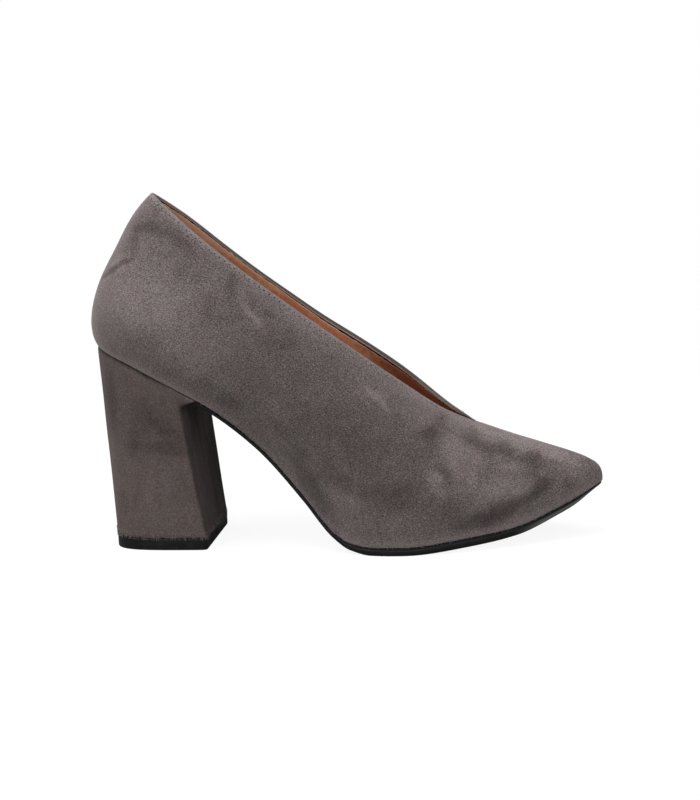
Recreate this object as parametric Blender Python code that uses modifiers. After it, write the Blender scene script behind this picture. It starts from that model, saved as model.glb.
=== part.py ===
"""Suede court shoe for the right foot: pointed toe, deep V throat, covered block heel.

Run with: blender --background --python part.py

The shoe is drawn on a last. X runs from heel to toe, lateral is -Y, medial is +Y and the floor is Z = 0.
Sizes are in millimetres and become metres where vertices are made. Every piece reads the same bottom
profile, feather edge and wall sections, so the pieces fit each other at any size of last.
"""

import math
from collections import namedtuple

import bmesh
import bpy
import numpy as np
from mathutils import Vector

MM = 0.001

# Driving dimensions of the last
LENGTH = 223.5           # heel seat to toe tip, along the floor
BALL_WIDTH = 77.0        # bottom of the last across the ball
HEEL_HEIGHT = 87.1       # floor to the underside of the seat at the back
TOP_HEIGHT = 156.0       # floor to the topline at the back

# Wall and fit
WALL = 2.0               # suede, interlining and lining together
GAP = 0.3                # clearance between pieces that meet
LASTING_MARGIN = 9.0     # upper turned in under the insole
TOE_MARGIN = 2.6         # the same at the toe tip, where it is trimmed
INSOLE_BED = 0.5         # room for paste between the lasted margin and the insole
INSOLE_THICKNESS = 2.6

# Outsole
BREAST_ALONG = 50.0      # where the heel ends and the outsole begins
TOE_OVERHANG = 1.4       # the toe tip reaches this far past the outsole

# Heel and its top piece
HEEL_TIP_BACK = 6.6
HEEL_TIP_FRONT = 50.0
HEEL_TIP_HALF_WIDTH = 25.5
HEEL_TIP_AXIS = -1.0     # the tip stands a little to the lateral side
HEEL_TIP_POWER = 4.4     # superellipse power of its outline: 2 is round, larger is squarer
HEEL_COVE = 8.0          # the breast sweeps this far forward where it meets the sole
HEEL_COVE_FROM = 0.955   # share of the heel's height where that sweep begins
TOP_PIECE_HEIGHT = 5.8
TOP_PIECE_CHAMFER = 0.4

# Side profile of the bottom.
#   along       share of LENGTH from the heel
#   clearance   height of the outsole's underside above the floor, share of HEEL_HEIGHT
#   sole        thickness of the outsole
Bottom = namedtuple("Bottom", "along clearance sole")
BOTTOM_PROFILE = [
    Bottom(0.000, 1.000, 2.2),
    Bottom(0.085, 0.922, 2.2),
    Bottom(0.220, 0.744, 2.2),
    Bottom(0.325, 0.522, 2.5),
    Bottom(0.420, 0.256, 2.9),
    Bottom(0.484, 0.071, 3.0),
    Bottom(0.516, 0.021, 3.2),
    Bottom(0.558, 0.000, 3.7),
    Bottom(0.626, 0.000, 3.7),
    Bottom(0.730, 0.020, 4.0),
    Bottom(0.835, 0.055, 3.8),
    Bottom(0.920, 0.138, 3.2),
    Bottom(1.000, 0.241, 2.4),
]

# Sections of the upper from the back seam to the toe tip.
#   along, lateral, medial         the feather edge: share of LENGTH, then shares of BALL_WIDTH from the axis
#   out, up                        handle of the wall there, square to the edge and square to the bottom
#   top_along, top_height          the topline, and past the throat the ridge of the vamp, as shares
#   top_lateral, top_medial, drop  its distance from the axis as shares, and how much lower it runs medially
#   lean, pull                     tilt of the wall at the top from upright in degrees, and its handle
Section = namedtuple(
    "Section", "along lateral medial out up top_along top_height top_lateral top_medial drop lean pull"
)
SECTIONS = [
    Section(0.002, 0.000, 0.000, 14.0, 15.0, 0.128, 1.000, 0.000, 0.000, 0.0, 42, 24.0),
    Section(0.036, 0.205, 0.205, 13.5, 16.0, 0.151, 0.974, 0.099, 0.099, 0.6, 36, 24.0),
    Section(0.085, 0.300, 0.300, 12.5, 17.0, 0.195, 0.928, 0.174, 0.174, 2.0, 28, 25.0),
    Section(0.148, 0.370, 0.365, 11.0, 19.0, 0.251, 0.865, 0.226, 0.226, 3.6, 24, 26.0),
    Section(0.220, 0.360, 0.355, 10.5, 20.0, 0.313, 0.795, 0.252, 0.252, 4.4, 23, 27.0),
    Section(0.296, 0.308, 0.285, 11.5, 21.0, 0.380, 0.722, 0.260, 0.260, 4.3, 24, 28.0),
    Section(0.372, 0.312, 0.245, 12.5, 22.0, 0.447, 0.649, 0.252, 0.252, 3.6, 27, 28.0),
    Section(0.444, 0.386, 0.298, 11.0, 23.0, 0.510, 0.581, 0.231, 0.231, 1.8, 32, 28.0),
    Section(0.511, 0.470, 0.376, 8.0, 24.0, 0.568, 0.517, 0.197, 0.200, 0.1, 38, 27.0),
    Section(0.582, 0.522, 0.448, 6.0, 24.0, 0.631, 0.449, 0.153, 0.161, -0.6, 46, 25.0),
    Section(0.658, 0.508, 0.482, 5.0, 24.0, 0.693, 0.381, 0.086, 0.096, 0.0, 62, 21.0),
    Section(0.734, 0.440, 0.450, 4.5, 22.0, 0.753, 0.327, -0.013, 0.013, 0.0, 88, 16.0),
    Section(0.810, 0.342, 0.376, 4.0, 18.0, 0.814, 0.2955, -0.018, 0.018, 0.0, 90, 13.0),
    Section(0.881, 0.228, 0.270, 3.5, 13.0, 0.879, 0.2655, -0.023, 0.023, 0.0, 90, 9.5),
    Section(0.943, 0.128, 0.174, 3.0, 8.5, 0.933, 0.240, -0.026, 0.026, 0.0, 90, 6.5),
    Section(0.982, 0.045, 0.097, 2.6, 6.0, 0.962, 0.224, -0.026, 0.026, 0.0, 90, 4.5),
    Section(1.000, -0.026, 0.026, 2.4, 4.5, 0.978, 0.2115, -0.026, 0.026, 0.0, 90, 4.0),
]
TOE_ROW = len(SECTIONS) - 1
LOOP_ROWS = 2 * TOE_ROW
THROAT_ROW = next(i for i, row in enumerate(SECTIONS) if row.top_lateral < 0)

# The outsole's side from the floor up: share of its thickness below the upper, inset from the feather edge
Edge = namedtuple("Edge", "depth inset")
SOLE_EDGE = [Edge(1.0, 0.7), Edge(0.6, 0.1), Edge(0.0, 0.3)]

# Mesh density
COLUMNS_PER_ROW = 3
SOLE_RUNGS_PER_ROW = 6
WALL_ROWS = 12
ACROSS = 6
HEEL_RUNGS = 16
HEEL_LEVELS = (0, 0.25, 0.5, 0.75, HEEL_COVE_FROM, 0.97, 0.982, 0.992, 1)


def clear_scene():
    for item in list(bpy.data.objects):
        bpy.data.objects.remove(item, do_unlink=True)


def monotone_curve(places, values):
    """A smooth curve through a table that never overshoots it, so level stretches stay level."""
    places, values = np.asarray(places, float), np.asarray(values, float)
    steps, slopes = np.diff(places), np.diff(values) / np.diff(places)
    tangents = np.concatenate([[slopes[0]], np.zeros(len(places) - 2), [slopes[-1]]])
    for i in range(1, len(places) - 1):
        if slopes[i - 1] * slopes[i] > 0:
            before, after = 2 * steps[i] + steps[i - 1], steps[i] + 2 * steps[i - 1]
            tangents[i] = (before + after) / (before / slopes[i - 1] + after / slopes[i])

    def at(place):
        i = int(np.clip(np.searchsorted(places, place) - 1, 0, len(steps) - 1))
        f = (place - places[i]) / steps[i]
        rise = values[i + 1] - values[i]
        start, end = tangents[i] * steps[i], tangents[i + 1] * steps[i]
        return values[i] + f * (start + f * (3 * rise - 2 * start - end + f * (start + end - 2 * rise)))

    return at


def smooth_curve(rows, closed=True):
    """A smooth curve through the rows, one unit of its parameter to a row."""
    rows = np.asarray(rows, float)
    count = len(rows)
    matrix = 4 * np.eye(count) + np.roll(np.eye(count), 1, 0) + np.roll(np.eye(count), -1, 0)
    turns = 6 * (np.roll(rows, 1, 0) - 2 * rows + np.roll(rows, -1, 0))
    if not closed:
        matrix[[0, -1]] = np.eye(count)[[0, -1]]
        turns[[0, -1]] = 0
    bends = np.linalg.solve(matrix, turns)

    def at(s):
        i = math.floor(s) % count if closed else min(math.floor(s), count - 2)
        j = (i + 1) % count
        f = s - math.floor(s) if closed else s - i
        g = 1 - f
        return g * rows[i] + f * rows[j] + ((g**3 - g) * bends[i] + (f**3 - f) * bends[j]) / 6

    return at


def round_the_last(lateral_rows, medial_rows):
    """Rows for one turn round the last: back seam, lateral side, toe tip, medial side."""
    return smooth_curve(lateral_rows + medial_rows[TOE_ROW - 1 : 0 : -1])


def bottom_curve(height):
    rows = BOTTOM_PROFILE
    return monotone_curve([row.along * LENGTH for row in rows], [height(row) for row in rows])


def topline_curve(rows):
    """The topline from the throat on the lateral side, round the back seam, to the throat again."""
    lateral, medial = [], []
    for row in rows:
        along, height = row.top_along * LENGTH, row.top_height * TOP_HEIGHT
        lateral.append((along, -row.top_lateral * BALL_WIDTH, height))
        medial.append((along, row.top_medial * BALL_WIDTH, height - row.drop))
    return smooth_curve(lateral[::-1] + medial[1:], closed=False)


def ridge_curves(rows):
    """The ridge of the vamp from the throat to the toe, one curve for each axis."""
    points = [(r.top_along * LENGTH, r.top_medial * BALL_WIDTH, r.top_height * TOP_HEIGHT) for r in rows]
    return [monotone_curve(range(THROAT_ROW, TOE_ROW + 1), axis) for axis in zip(*points)]


sole_thickness = bottom_curve(lambda row: row.sole)
bottom_height = bottom_curve(lambda row: row.clearance * HEEL_HEIGHT + row.sole + GAP)
feather_plan = round_the_last(
    [(row.along * LENGTH, -row.lateral * BALL_WIDTH) for row in SECTIONS],
    [(row.along * LENGTH, row.medial * BALL_WIDTH) for row in SECTIONS],
)
wall_handles = round_the_last(*[[(row.out, row.up, row.lean, row.pull) for row in SECTIONS]] * 2)
topline = topline_curve(SECTIONS[: THROAT_ROW + 1])
ridge = ridge_curves(SECTIONS[THROAT_ROW:])
RIDGE_FALL = (ridge[2](TOE_ROW) - ridge[2](THROAT_ROW)) / (ridge[0](TOE_ROW) - ridge[0](THROAT_ROW))


def bottom_slope(along):
    step = 0.5
    return (bottom_height(along + step) - bottom_height(along - step)) / (2 * step)


def square_to_bottom(along, thickness):
    """Height that a thickness measured square to the sloping bottom takes up."""
    return thickness * math.hypot(1, bottom_slope(along))


def outward_normal(s):
    """Direction along the floor that points away from the last, square to the feather edge."""
    step = 0.02
    along, across = feather_plan(s + step) - feather_plan(s - step)
    return np.array([across, -along]) / math.hypot(along, across)


def feather(s, outward=0.0):
    """A point of the feather edge, or a place on the bottom that lies outward of it."""
    along, across = feather_plan(s) + outward * outward_normal(s)
    return np.array([along, across, bottom_height(along)])


def top_edge(s):
    """The topline, or past the throat the ridge, above this place of the feather edge."""
    from_back = min(s, LOOP_ROWS - s)
    if from_back >= THROAT_ROW:
        return np.array([axis(from_back) for axis in ridge])
    return topline(THROAT_ROW - from_back if s == from_back else THROAT_ROW + from_back)


def wall_section(s, count):
    """Points up the wall from the feather edge to the top edge, on one Bezier arc."""
    out, up, lean, pull = wall_handles(s)
    start, end = feather(s), top_edge(s)
    outward = np.append(outward_normal(s), 0)
    slope = bottom_slope(start[0])
    upward = np.array([-slope, 0, 1]) / math.hypot(1, slope)
    tilt = math.radians(min(lean, 90))
    inward = -outward - np.array([0, 0, outward[0] * RIDGE_FALL * math.sin(tilt)])
    arrival = math.sin(tilt) * inward + math.cos(tilt) * np.array([0, 0, 1])
    low, high = start + out * outward + up * upward, end - pull * arrival
    points = []
    for f in np.linspace(0, 1, count):
        g = 1 - f
        points.append(g**3 * start + 3 * g * g * f * low + 3 * g * f * f * high + f**3 * end)
    return points


def row_at(along):
    """The row of the lateral feather edge at a place along the length."""
    rows = np.linspace(0, TOE_ROW, 400)
    return float(np.interp(along, [feather_plan(s)[0] for s in rows], rows))


def material(name, colour, roughness):
    made = bpy.data.materials.new(name)
    made.use_nodes = True
    shader = made.node_tree.nodes["Principled BSDF"]
    shader.inputs["Base Color"].default_value = (*colour, 1)
    shader.inputs["Roughness"].default_value = roughness
    shader.inputs["Metallic"].default_value = 0
    return made


def add_piece(name, mesh, finish):
    """Turns a finished bmesh into a named object in the shoe's collection, under the shoe's empty."""
    bmesh.ops.remove_doubles(mesh, verts=mesh.verts, dist=1e-7)
    bmesh.ops.delete(mesh, geom=[v for v in mesh.verts if not v.link_faces], context="VERTS")
    data = bpy.data.meshes.new(name)
    mesh.to_mesh(data)
    mesh.free()
    data.shade_smooth()
    data.set_sharp_from_angle(angle=math.radians(40))
    data.materials.append(finish)
    piece = bpy.data.objects.new(name, data)
    bpy.data.collections["suede_pump"].objects.link(piece)
    piece.parent = bpy.data.objects["shoe"]
    return piece


def skin(mesh, grid, closed=False):
    """Quads over a grid of vertices, row by row."""
    for lower, upper in zip(grid, grid[1:]):
        for j in range(len(lower) - (0 if closed else 1)):
            k = (j + 1) % len(lower)
            mesh.faces.new((lower[j], lower[k], upper[k], upper[j]))


def rim(grid):
    """The outline of a grid of rungs: up the lateral side, across the last rung and back."""
    lateral, medial = [rung[0] for rung in grid], [rung[-1] for rung in grid]
    return lateral + grid[-1][1:-1] + medial[::-1] + grid[0][-2:0:-1]


def layered_solid(name, layers, finish):
    """A closed solid from matching grids of points, floor first and roof last, joined round their rims."""
    mesh = bmesh.new()
    grids = [[[mesh.verts.new(Vector(p) * MM) for p in rung] for rung in layer] for layer in layers]
    skin(mesh, grids[0])
    skin(mesh, [rung[::-1] for rung in grids[-1]])
    skin(mesh, [rim(grid) for grid in grids], closed=True)
    return add_piece(name, mesh, finish)


def rung_between(lateral, medial):
    return [lateral + f * (medial - lateral) for f in np.linspace(0, 1, ACROSS + 1)]


def bottom_rungs(rows, inset, lift):
    """Rungs across the bottom of the last, inset from the feather edge and lifted off it."""
    rungs = []
    for s in rows:
        rung = rung_between(feather(s, -inset(s)), feather(LOOP_ROWS - s, -inset(s)))
        for point in rung:
            point[2] = bottom_height(point[0]) + lift(point[0])
        rungs.append(rung)
    return rungs


def make_upper(finish):
    """The upper as a skin from its lasted margin to its topline, given its wall by Solidify."""
    mesh = bmesh.new()
    columns = []
    for s in np.arange(0, LOOP_ROWS, 1 / COLUMNS_PER_ROW):
        half_width = abs(feather_plan(s)[1] - feather_plan(LOOP_ROWS - s)[1]) / 2
        margin = min(LASTING_MARGIN, TOE_MARGIN + half_width / 2)
        points = [feather(s, -margin), feather(s, -margin / 2)] + wall_section(s, WALL_ROWS + 1)
        columns.append([mesh.verts.new(Vector(p) * MM) for p in points])
    skin(mesh, list(zip(*columns)), closed=True)
    piece = add_piece("upper", mesh, finish)
    wall = piece.modifiers.new("Wall", "SOLIDIFY")
    wall.thickness = WALL * MM
    wall.offset = -1
    wall.use_even_offset = True
    return piece


def make_insole(finish):
    rows = np.linspace(0, TOE_ROW, TOE_ROW * COLUMNS_PER_ROW + 1)
    layers = []
    for height in (WALL + INSOLE_BED, WALL + INSOLE_BED + INSOLE_THICKNESS):
        lift = lambda along: square_to_bottom(along, height)
        layers.append(bottom_rungs(rows, lambda s: WALL + 2 * GAP, lift))
    return layered_solid("insole", layers, finish)


def make_outsole(finish):
    first = row_at(BREAST_ALONG)
    rows = np.linspace(first, TOE_ROW, round((TOE_ROW - first) * SOLE_RUNGS_PER_ROW))
    layers = []
    for edge in SOLE_EDGE:
        inset = lambda s: edge.inset + TOE_OVERHANG * max(0, (s - TOE_ROW + 2) / 2) ** 2
        lift = lambda along: -GAP - edge.depth * sole_thickness(along)
        layers.append(bottom_rungs(rows, inset, lift))
    return layered_solid("outsole", layers, finish)


def tip_rungs(height, inset=0.0):
    """Rungs across the heel tip from its back to its breast, inside a superellipse."""
    depth = HEEL_TIP_FRONT - HEEL_TIP_BACK - 2 * inset
    rungs = []
    for angle in np.linspace(0, math.pi / 2, HEEL_RUNGS):
        along = HEEL_TIP_FRONT - inset - depth * math.cos(angle) ** (2 / HEEL_TIP_POWER)
        across = (HEEL_TIP_HALF_WIDTH - inset) * math.sin(angle) ** (2 / HEEL_TIP_POWER)
        sides = [np.array([along, HEEL_TIP_AXIS + side * across, height]) for side in (-1, 1)]
        rungs.append(rung_between(*sides))
    return rungs


def make_heel(finish):
    """The heel block, from the tip's outline up to the feather edge of the seat."""
    tip = tip_rungs(TOP_PIECE_HEIGHT + GAP)
    seat_rows = np.linspace(0, row_at(BREAST_ALONG - GAP), HEEL_RUNGS)
    seat = bottom_rungs(seat_rows, lambda s: 0, lambda along: -square_to_bottom(along, GAP))
    layers = []
    for level in HEEL_LEVELS:
        sweep = max(0, (level - HEEL_COVE_FROM) / (1 - HEEL_COVE_FROM)) ** 1.8
        layer = []
        for i in range(HEEL_RUNGS):
            near_breast = (i / (HEEL_RUNGS - 1)) ** 6
            hollow = np.array([HEEL_COVE * near_breast * level * (1 - sweep), 0, 0])
            layer.append([low + level * (high - low) - hollow for low, high in zip(tip[i], seat[i])])
        layers.append(layer)
    return layered_solid("heel_block", layers, finish)


def make_top_piece(finish):
    layers = [
        tip_rungs(0, TOP_PIECE_CHAMFER),
        tip_rungs(TOP_PIECE_CHAMFER),
        tip_rungs(TOP_PIECE_HEIGHT),
    ]
    return layered_solid("top_piece", layers, finish)


def stand_on_origin(pieces, shoe):
    """Moves the whole shoe so that the middle of its footprint is the origin."""
    corners = np.array([v.co for piece in pieces for v in piece.data.vertices])
    low, high = corners.min(0), corners.max(0)
    shoe.location = (-(low[0] + high[0]) / 2, -(low[1] + high[1]) / 2, 0)


def main():
    clear_scene()
    bpy.context.scene.collection.children.link(bpy.data.collections.new("suede_pump"))
    shoe = bpy.data.objects.new("shoe", None)
    bpy.data.collections["suede_pump"].objects.link(shoe)
    suede = material("grey_suede", (0.135, 0.112, 0.105), 0.95)
    tan_leather = material("tan_leather", (0.42, 0.13, 0.06), 0.55)
    black_rubber = material("black_rubber", (0.012, 0.012, 0.014), 0.6)
    pieces = [
        make_upper(suede),
        make_insole(tan_leather),
        make_outsole(black_rubber),
        make_heel(suede),
        make_top_piece(black_rubber),
    ]
    stand_on_origin(pieces, shoe)


main()
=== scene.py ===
# %% [markdown]
# # A grey suede court shoe
# The shoe has a pointed toe, a deep V throat and a covered block heel. A shoemaker builds it on a last, a
# solid foot form, so this lesson does the same: one set of curves describes the last, and every visible
# piece is laid over it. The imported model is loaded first. It holds the true sizes, and nothing in it moves.

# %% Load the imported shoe
import math
from collections import namedtuple

import bpy
import numpy as np
from mathutils import Matrix, Vector, noise


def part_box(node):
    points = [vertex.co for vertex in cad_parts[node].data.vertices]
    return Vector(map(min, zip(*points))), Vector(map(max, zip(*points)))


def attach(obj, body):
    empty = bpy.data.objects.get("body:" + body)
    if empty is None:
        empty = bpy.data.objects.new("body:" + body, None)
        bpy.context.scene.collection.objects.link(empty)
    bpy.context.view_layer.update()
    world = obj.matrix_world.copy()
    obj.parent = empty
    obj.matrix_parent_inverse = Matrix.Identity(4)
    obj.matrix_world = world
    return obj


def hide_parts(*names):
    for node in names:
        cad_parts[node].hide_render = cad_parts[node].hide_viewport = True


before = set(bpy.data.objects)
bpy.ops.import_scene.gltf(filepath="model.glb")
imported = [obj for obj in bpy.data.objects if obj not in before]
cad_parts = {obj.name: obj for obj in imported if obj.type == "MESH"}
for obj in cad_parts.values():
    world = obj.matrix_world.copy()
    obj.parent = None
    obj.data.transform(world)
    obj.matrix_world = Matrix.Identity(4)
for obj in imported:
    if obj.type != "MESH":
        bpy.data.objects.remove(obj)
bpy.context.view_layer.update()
print("pieces of the frame:", sorted(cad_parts))

# %% [markdown]
# ## The camera and the room
# The camera comes first, because every later choice is judged through it. It stands low and a little toward
# the toe, with a long lens, as for a catalogue picture. The target is given in the last's own millimetres,
# so the last's zero is found first: the top piece of the heel shows where it lies in the frame.

# %% The last's zero in the frame
MM = 0.001
HEEL_TIP_BACK = 6.6
HEEL_TIP_FRONT = 50.0
HEEL_TIP_HALF_WIDTH = 25.5
HEEL_TIP_AXIS = -1.0

tip_low, tip_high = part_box("top_piece")
LAST_ZERO = np.array([
    tip_low.x - HEEL_TIP_BACK * MM,
    (tip_low.y + tip_high.y) / 2 - HEEL_TIP_AXIS * MM,
    0.0,
])


def in_frame(points):
    """Millimetres on the last become metres in the frame."""
    return np.asarray(points, float) * MM + LAST_ZERO


print("the last's zero lies at", LAST_ZERO.round(5))

# %% Camera
CAMERA_TARGET = (113.0, 0.0, 61.5)
CAMERA_AZIMUTH = math.radians(7.72)
CAMERA_ELEVATION = math.radians(10.18)
CAMERA_ROLL = math.radians(-2.26)
CAMERA_DISTANCE = 0.9975
CAMERA_LENS, SENSOR_WIDTH = 101.25, 36.0


def aim(azimuth, elevation):
    """The direction from the shoe toward something that stands at these angles."""
    level = math.cos(elevation)
    return Vector((math.sin(azimuth) * level, -math.cos(azimuth) * level, math.sin(elevation)))


camera = bpy.data.objects.new("camera", bpy.data.cameras.new("camera"))
camera.data.lens = CAMERA_LENS
camera.data.sensor_width = SENSOR_WIDTH
target = Vector(in_frame(CAMERA_TARGET))
back = aim(CAMERA_AZIMUTH, CAMERA_ELEVATION)
level_turn = (-back).to_track_quat("-Z", "Y").to_matrix()
roll_turn = Matrix.Rotation(CAMERA_ROLL, 3, "Z")
stand = Matrix.Translation(target + back * CAMERA_DISTANCE)
camera.matrix_world = stand @ (level_turn @ roll_turn).to_4x4()
bpy.context.scene.collection.objects.link(camera)
bpy.context.scene.camera = camera
print("camera at", [round(x, 3) for x in camera.matrix_world.translation])

# %% [markdown]
# Suede looks flat in hard light, so the light is soft: a large box above and to the left, weaker ones
# behind the heel, in front and toward the toe, and one overhead. The light toward the toe is kept low, so
# that the breast of the heel stays dark. A lamp's power is worked out from the brightness it should give,
# so moving a lamp doesn't change the exposure. The floor looks white and holds a faint shadow, but it
# throws little light back, because a bright floor would lift the dark of the arch.

# %% Floor, sky and lamps
Lamp = namedtuple("Lamp", "name azimuth elevation distance size brightness")
LAMPS = [
    Lamp("key_softbox", -58, 58, 2.0, 1.5, 0.62),
    Lamp("rim_softbox", -125, 35, 2.2, 1.2, 0.20),
    Lamp("front_softbox", -12, 26, 2.2, 1.4, 0.14),
    Lamp("fill_softbox", 30, 35, 2.2, 1.4, 0.26),
    Lamp("overhead_softbox", 60, 84, 1.8, 1.4, 0.36),
]
FLOOR_SIZE = 12.0
FLOOR_BOUNCE = (0.32, 0.32, 0.32, 1)
FLOOR_PAINT = (0.15, 0.15, 0.15, 1)
FLOOR_GLOW = 0.91
FLOOR_ROUGHNESS = 0.9
WHITE = (1, 1, 1, 1)
WHITE_FROM, WHITE_BY = 0.20, 0.55
SKY_BRIGHTNESS = 0.03


def shader_mix(tree, share, first, second):
    """One of two shaders, or a mixture of both."""
    choice = tree.nodes.new("ShaderNodeMixShader")
    for value, socket in zip((share, first, second), choice.inputs):
        tree.links.new(value, socket)
    return choice.outputs[0]


def pale_floor():
    """White to the eye and fading to pure white away from the shoe, but dull for bounced light."""
    finish = bpy.data.materials.new("pale_floor")
    finish.use_nodes = True
    tree = finish.node_tree
    near = tree.nodes["Principled BSDF"]
    near.inputs["Base Color"].default_value = FLOOR_PAINT
    near.inputs["Roughness"].default_value = FLOOR_ROUGHNESS
    near.inputs["Specular IOR Level"].default_value = 0.0
    near.inputs["Emission Color"].default_value = WHITE
    near.inputs["Emission Strength"].default_value = FLOOR_GLOW
    far = tree.nodes.new("ShaderNodeEmission")
    dull = tree.nodes.new("ShaderNodeBsdfDiffuse")
    dull.inputs["Color"].default_value = FLOOR_BOUNCE
    place = tree.nodes.new("ShaderNodeTexCoord")
    away = tree.nodes.new("ShaderNodeVectorMath")
    away.operation = "LENGTH"
    tree.links.new(place.outputs["Object"], away.inputs[0])
    fade = tree.nodes.new("ShaderNodeMapRange")
    fade.interpolation_type = "SMOOTHSTEP"
    fade.inputs["From Min"].default_value = WHITE_FROM
    fade.inputs["From Max"].default_value = WHITE_BY
    tree.links.new(away.outputs["Value"], fade.inputs["Value"])
    path = tree.nodes.new("ShaderNodeLightPath")
    seen = shader_mix(tree, fade.outputs[0], near.outputs[0], far.outputs[0])
    floor = shader_mix(tree, path.outputs["Is Camera Ray"], dull.outputs[0], seen)
    tree.links.new(floor, tree.nodes["Material Output"].inputs["Surface"])
    return finish


def lay_floor():
    half = FLOOR_SIZE / 2
    corners = [(-half, -half, 0), (half, -half, 0), (half, half, 0), (-half, half, 0)]
    mesh = bpy.data.meshes.new("floor")
    mesh.from_pydata(corners, [], [(0, 1, 2, 3)])
    mesh.materials.append(pale_floor())
    floor = bpy.data.objects.new("floor", mesh)
    bpy.context.scene.collection.objects.link(floor)


def hang_lamp(lamp):
    data = bpy.data.lights.new(lamp.name, "AREA")
    data.size = lamp.size
    data.energy = lamp.brightness * (math.pi * lamp.distance) ** 2
    toward = aim(math.radians(lamp.azimuth), math.radians(lamp.elevation))
    made = bpy.data.objects.new(lamp.name, data)
    made.location = target + toward * lamp.distance
    made.rotation_euler = toward.to_track_quat("Z", "Y").to_euler()
    bpy.context.scene.collection.objects.link(made)


def pale_sky():
    """The sky looks white to the camera and lights the shoe only dimly."""
    world = bpy.data.worlds.new("studio")
    world.use_nodes = True
    tree = world.node_tree
    dim = tree.nodes["Background"]
    dim.inputs["Strength"].default_value = SKY_BRIGHTNESS
    dim.inputs["Color"].default_value = WHITE
    white = tree.nodes.new("ShaderNodeBackground")
    white.inputs["Color"].default_value = WHITE
    path = tree.nodes.new("ShaderNodeLightPath")
    sky = shader_mix(tree, path.outputs["Is Camera Ray"], dim.outputs[0], white.outputs[0])
    tree.links.new(sky, tree.nodes["World Output"].inputs["Surface"])
    bpy.context.scene.world = world


lay_floor()
pale_sky()
for lamp in LAMPS:
    hang_lamp(lamp)
bpy.context.scene.view_settings.view_transform = "Standard"
print(len(LAMPS), "lamps hung")

# %% [markdown]
# ## The last
# A last is known by its bottom profile, its feather edge (where wall meets bottom) and the shape of the
# wall above it. Short tables give these at a few stations, and smooth curves run through them. The tables
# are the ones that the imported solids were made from, so what is laid over them fits the frame.

# %% Driving sizes of the last, in millimetres
LENGTH = 223.5
BALL_WIDTH = 77.0
HEEL_HEIGHT = 87.1
TOP_HEIGHT = 156.0
GAP = 0.3
BREAST_ALONG = 50.0

# along, clearance of the outsole as a share of HEEL_HEIGHT, thickness of the outsole
Bottom = namedtuple("Bottom", "along clearance sole")
BOTTOM_PROFILE = [
    Bottom(0.000, 1.000, 2.2),
    Bottom(0.085, 0.922, 2.2),
    Bottom(0.220, 0.744, 2.2),
    Bottom(0.325, 0.522, 2.5),
    Bottom(0.420, 0.256, 2.9),
    Bottom(0.484, 0.071, 3.0),
    Bottom(0.516, 0.021, 3.2),
    Bottom(0.558, 0.000, 3.7),
    Bottom(0.626, 0.000, 3.7),
    Bottom(0.730, 0.020, 4.0),
    Bottom(0.835, 0.055, 3.8),
    Bottom(0.920, 0.138, 3.2),
    Bottom(1.000, 0.241, 2.4),
]

# feather edge, handles of the wall there, topline or ridge, drop on the medial side, tilt and handle above
Section = namedtuple(
    "Section", "along lateral medial out up top_along top_height top_lateral top_medial drop lean pull"
)
SECTIONS = [
    Section(0.002, 0.000, 0.000, 14.0, 15.0, 0.128, 1.000, 0.000, 0.000, 0.0, 42, 24.0),
    Section(0.036, 0.205, 0.205, 13.5, 16.0, 0.151, 0.974, 0.099, 0.099, 0.6, 36, 24.0),
    Section(0.085, 0.300, 0.300, 12.5, 17.0, 0.195, 0.928, 0.174, 0.174, 2.0, 28, 25.0),
    Section(0.148, 0.370, 0.365, 11.0, 19.0, 0.251, 0.865, 0.226, 0.226, 3.6, 24, 26.0),
    Section(0.220, 0.360, 0.355, 10.5, 20.0, 0.313, 0.795, 0.252, 0.252, 4.4, 23, 27.0),
    Section(0.296, 0.308, 0.285, 11.5, 21.0, 0.380, 0.722, 0.260, 0.260, 4.3, 24, 28.0),
    Section(0.372, 0.312, 0.245, 12.5, 22.0, 0.447, 0.649, 0.252, 0.252, 3.6, 27, 28.0),
    Section(0.444, 0.386, 0.298, 11.0, 23.0, 0.510, 0.581, 0.231, 0.231, 1.8, 32, 28.0),
    Section(0.511, 0.470, 0.376, 8.0, 24.0, 0.568, 0.517, 0.197, 0.200, 0.1, 38, 27.0),
    Section(0.582, 0.522, 0.448, 6.0, 24.0, 0.631, 0.449, 0.153, 0.161, -0.6, 46, 25.0),
    Section(0.658, 0.508, 0.482, 5.0, 24.0, 0.693, 0.381, 0.086, 0.096, 0.0, 62, 21.0),
    Section(0.734, 0.440, 0.450, 4.5, 22.0, 0.753, 0.327, -0.013, 0.013, 0.0, 88, 16.0),
    Section(0.810, 0.342, 0.376, 4.0, 18.0, 0.814, 0.2955, -0.018, 0.018, 0.0, 90, 13.0),
    Section(0.881, 0.228, 0.270, 3.5, 13.0, 0.879, 0.2655, -0.023, 0.023, 0.0, 90, 9.5),
    Section(0.943, 0.128, 0.174, 3.0, 8.5, 0.933, 0.240, -0.026, 0.026, 0.0, 90, 6.5),
    Section(0.982, 0.045, 0.097, 2.6, 6.0, 0.962, 0.224, -0.026, 0.026, 0.0, 90, 4.5),
    Section(1.000, -0.026, 0.026, 2.4, 4.5, 0.978, 0.2115, -0.026, 0.026, 0.0, 90, 4.0),
]
TOE_ROW = len(SECTIONS) - 1
LOOP_ROWS = 2 * TOE_ROW
THROAT_ROW = next(i for i, row in enumerate(SECTIONS) if row.top_lateral < 0)
print(len(SECTIONS), "sections, throat at section", THROAT_ROW)


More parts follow.
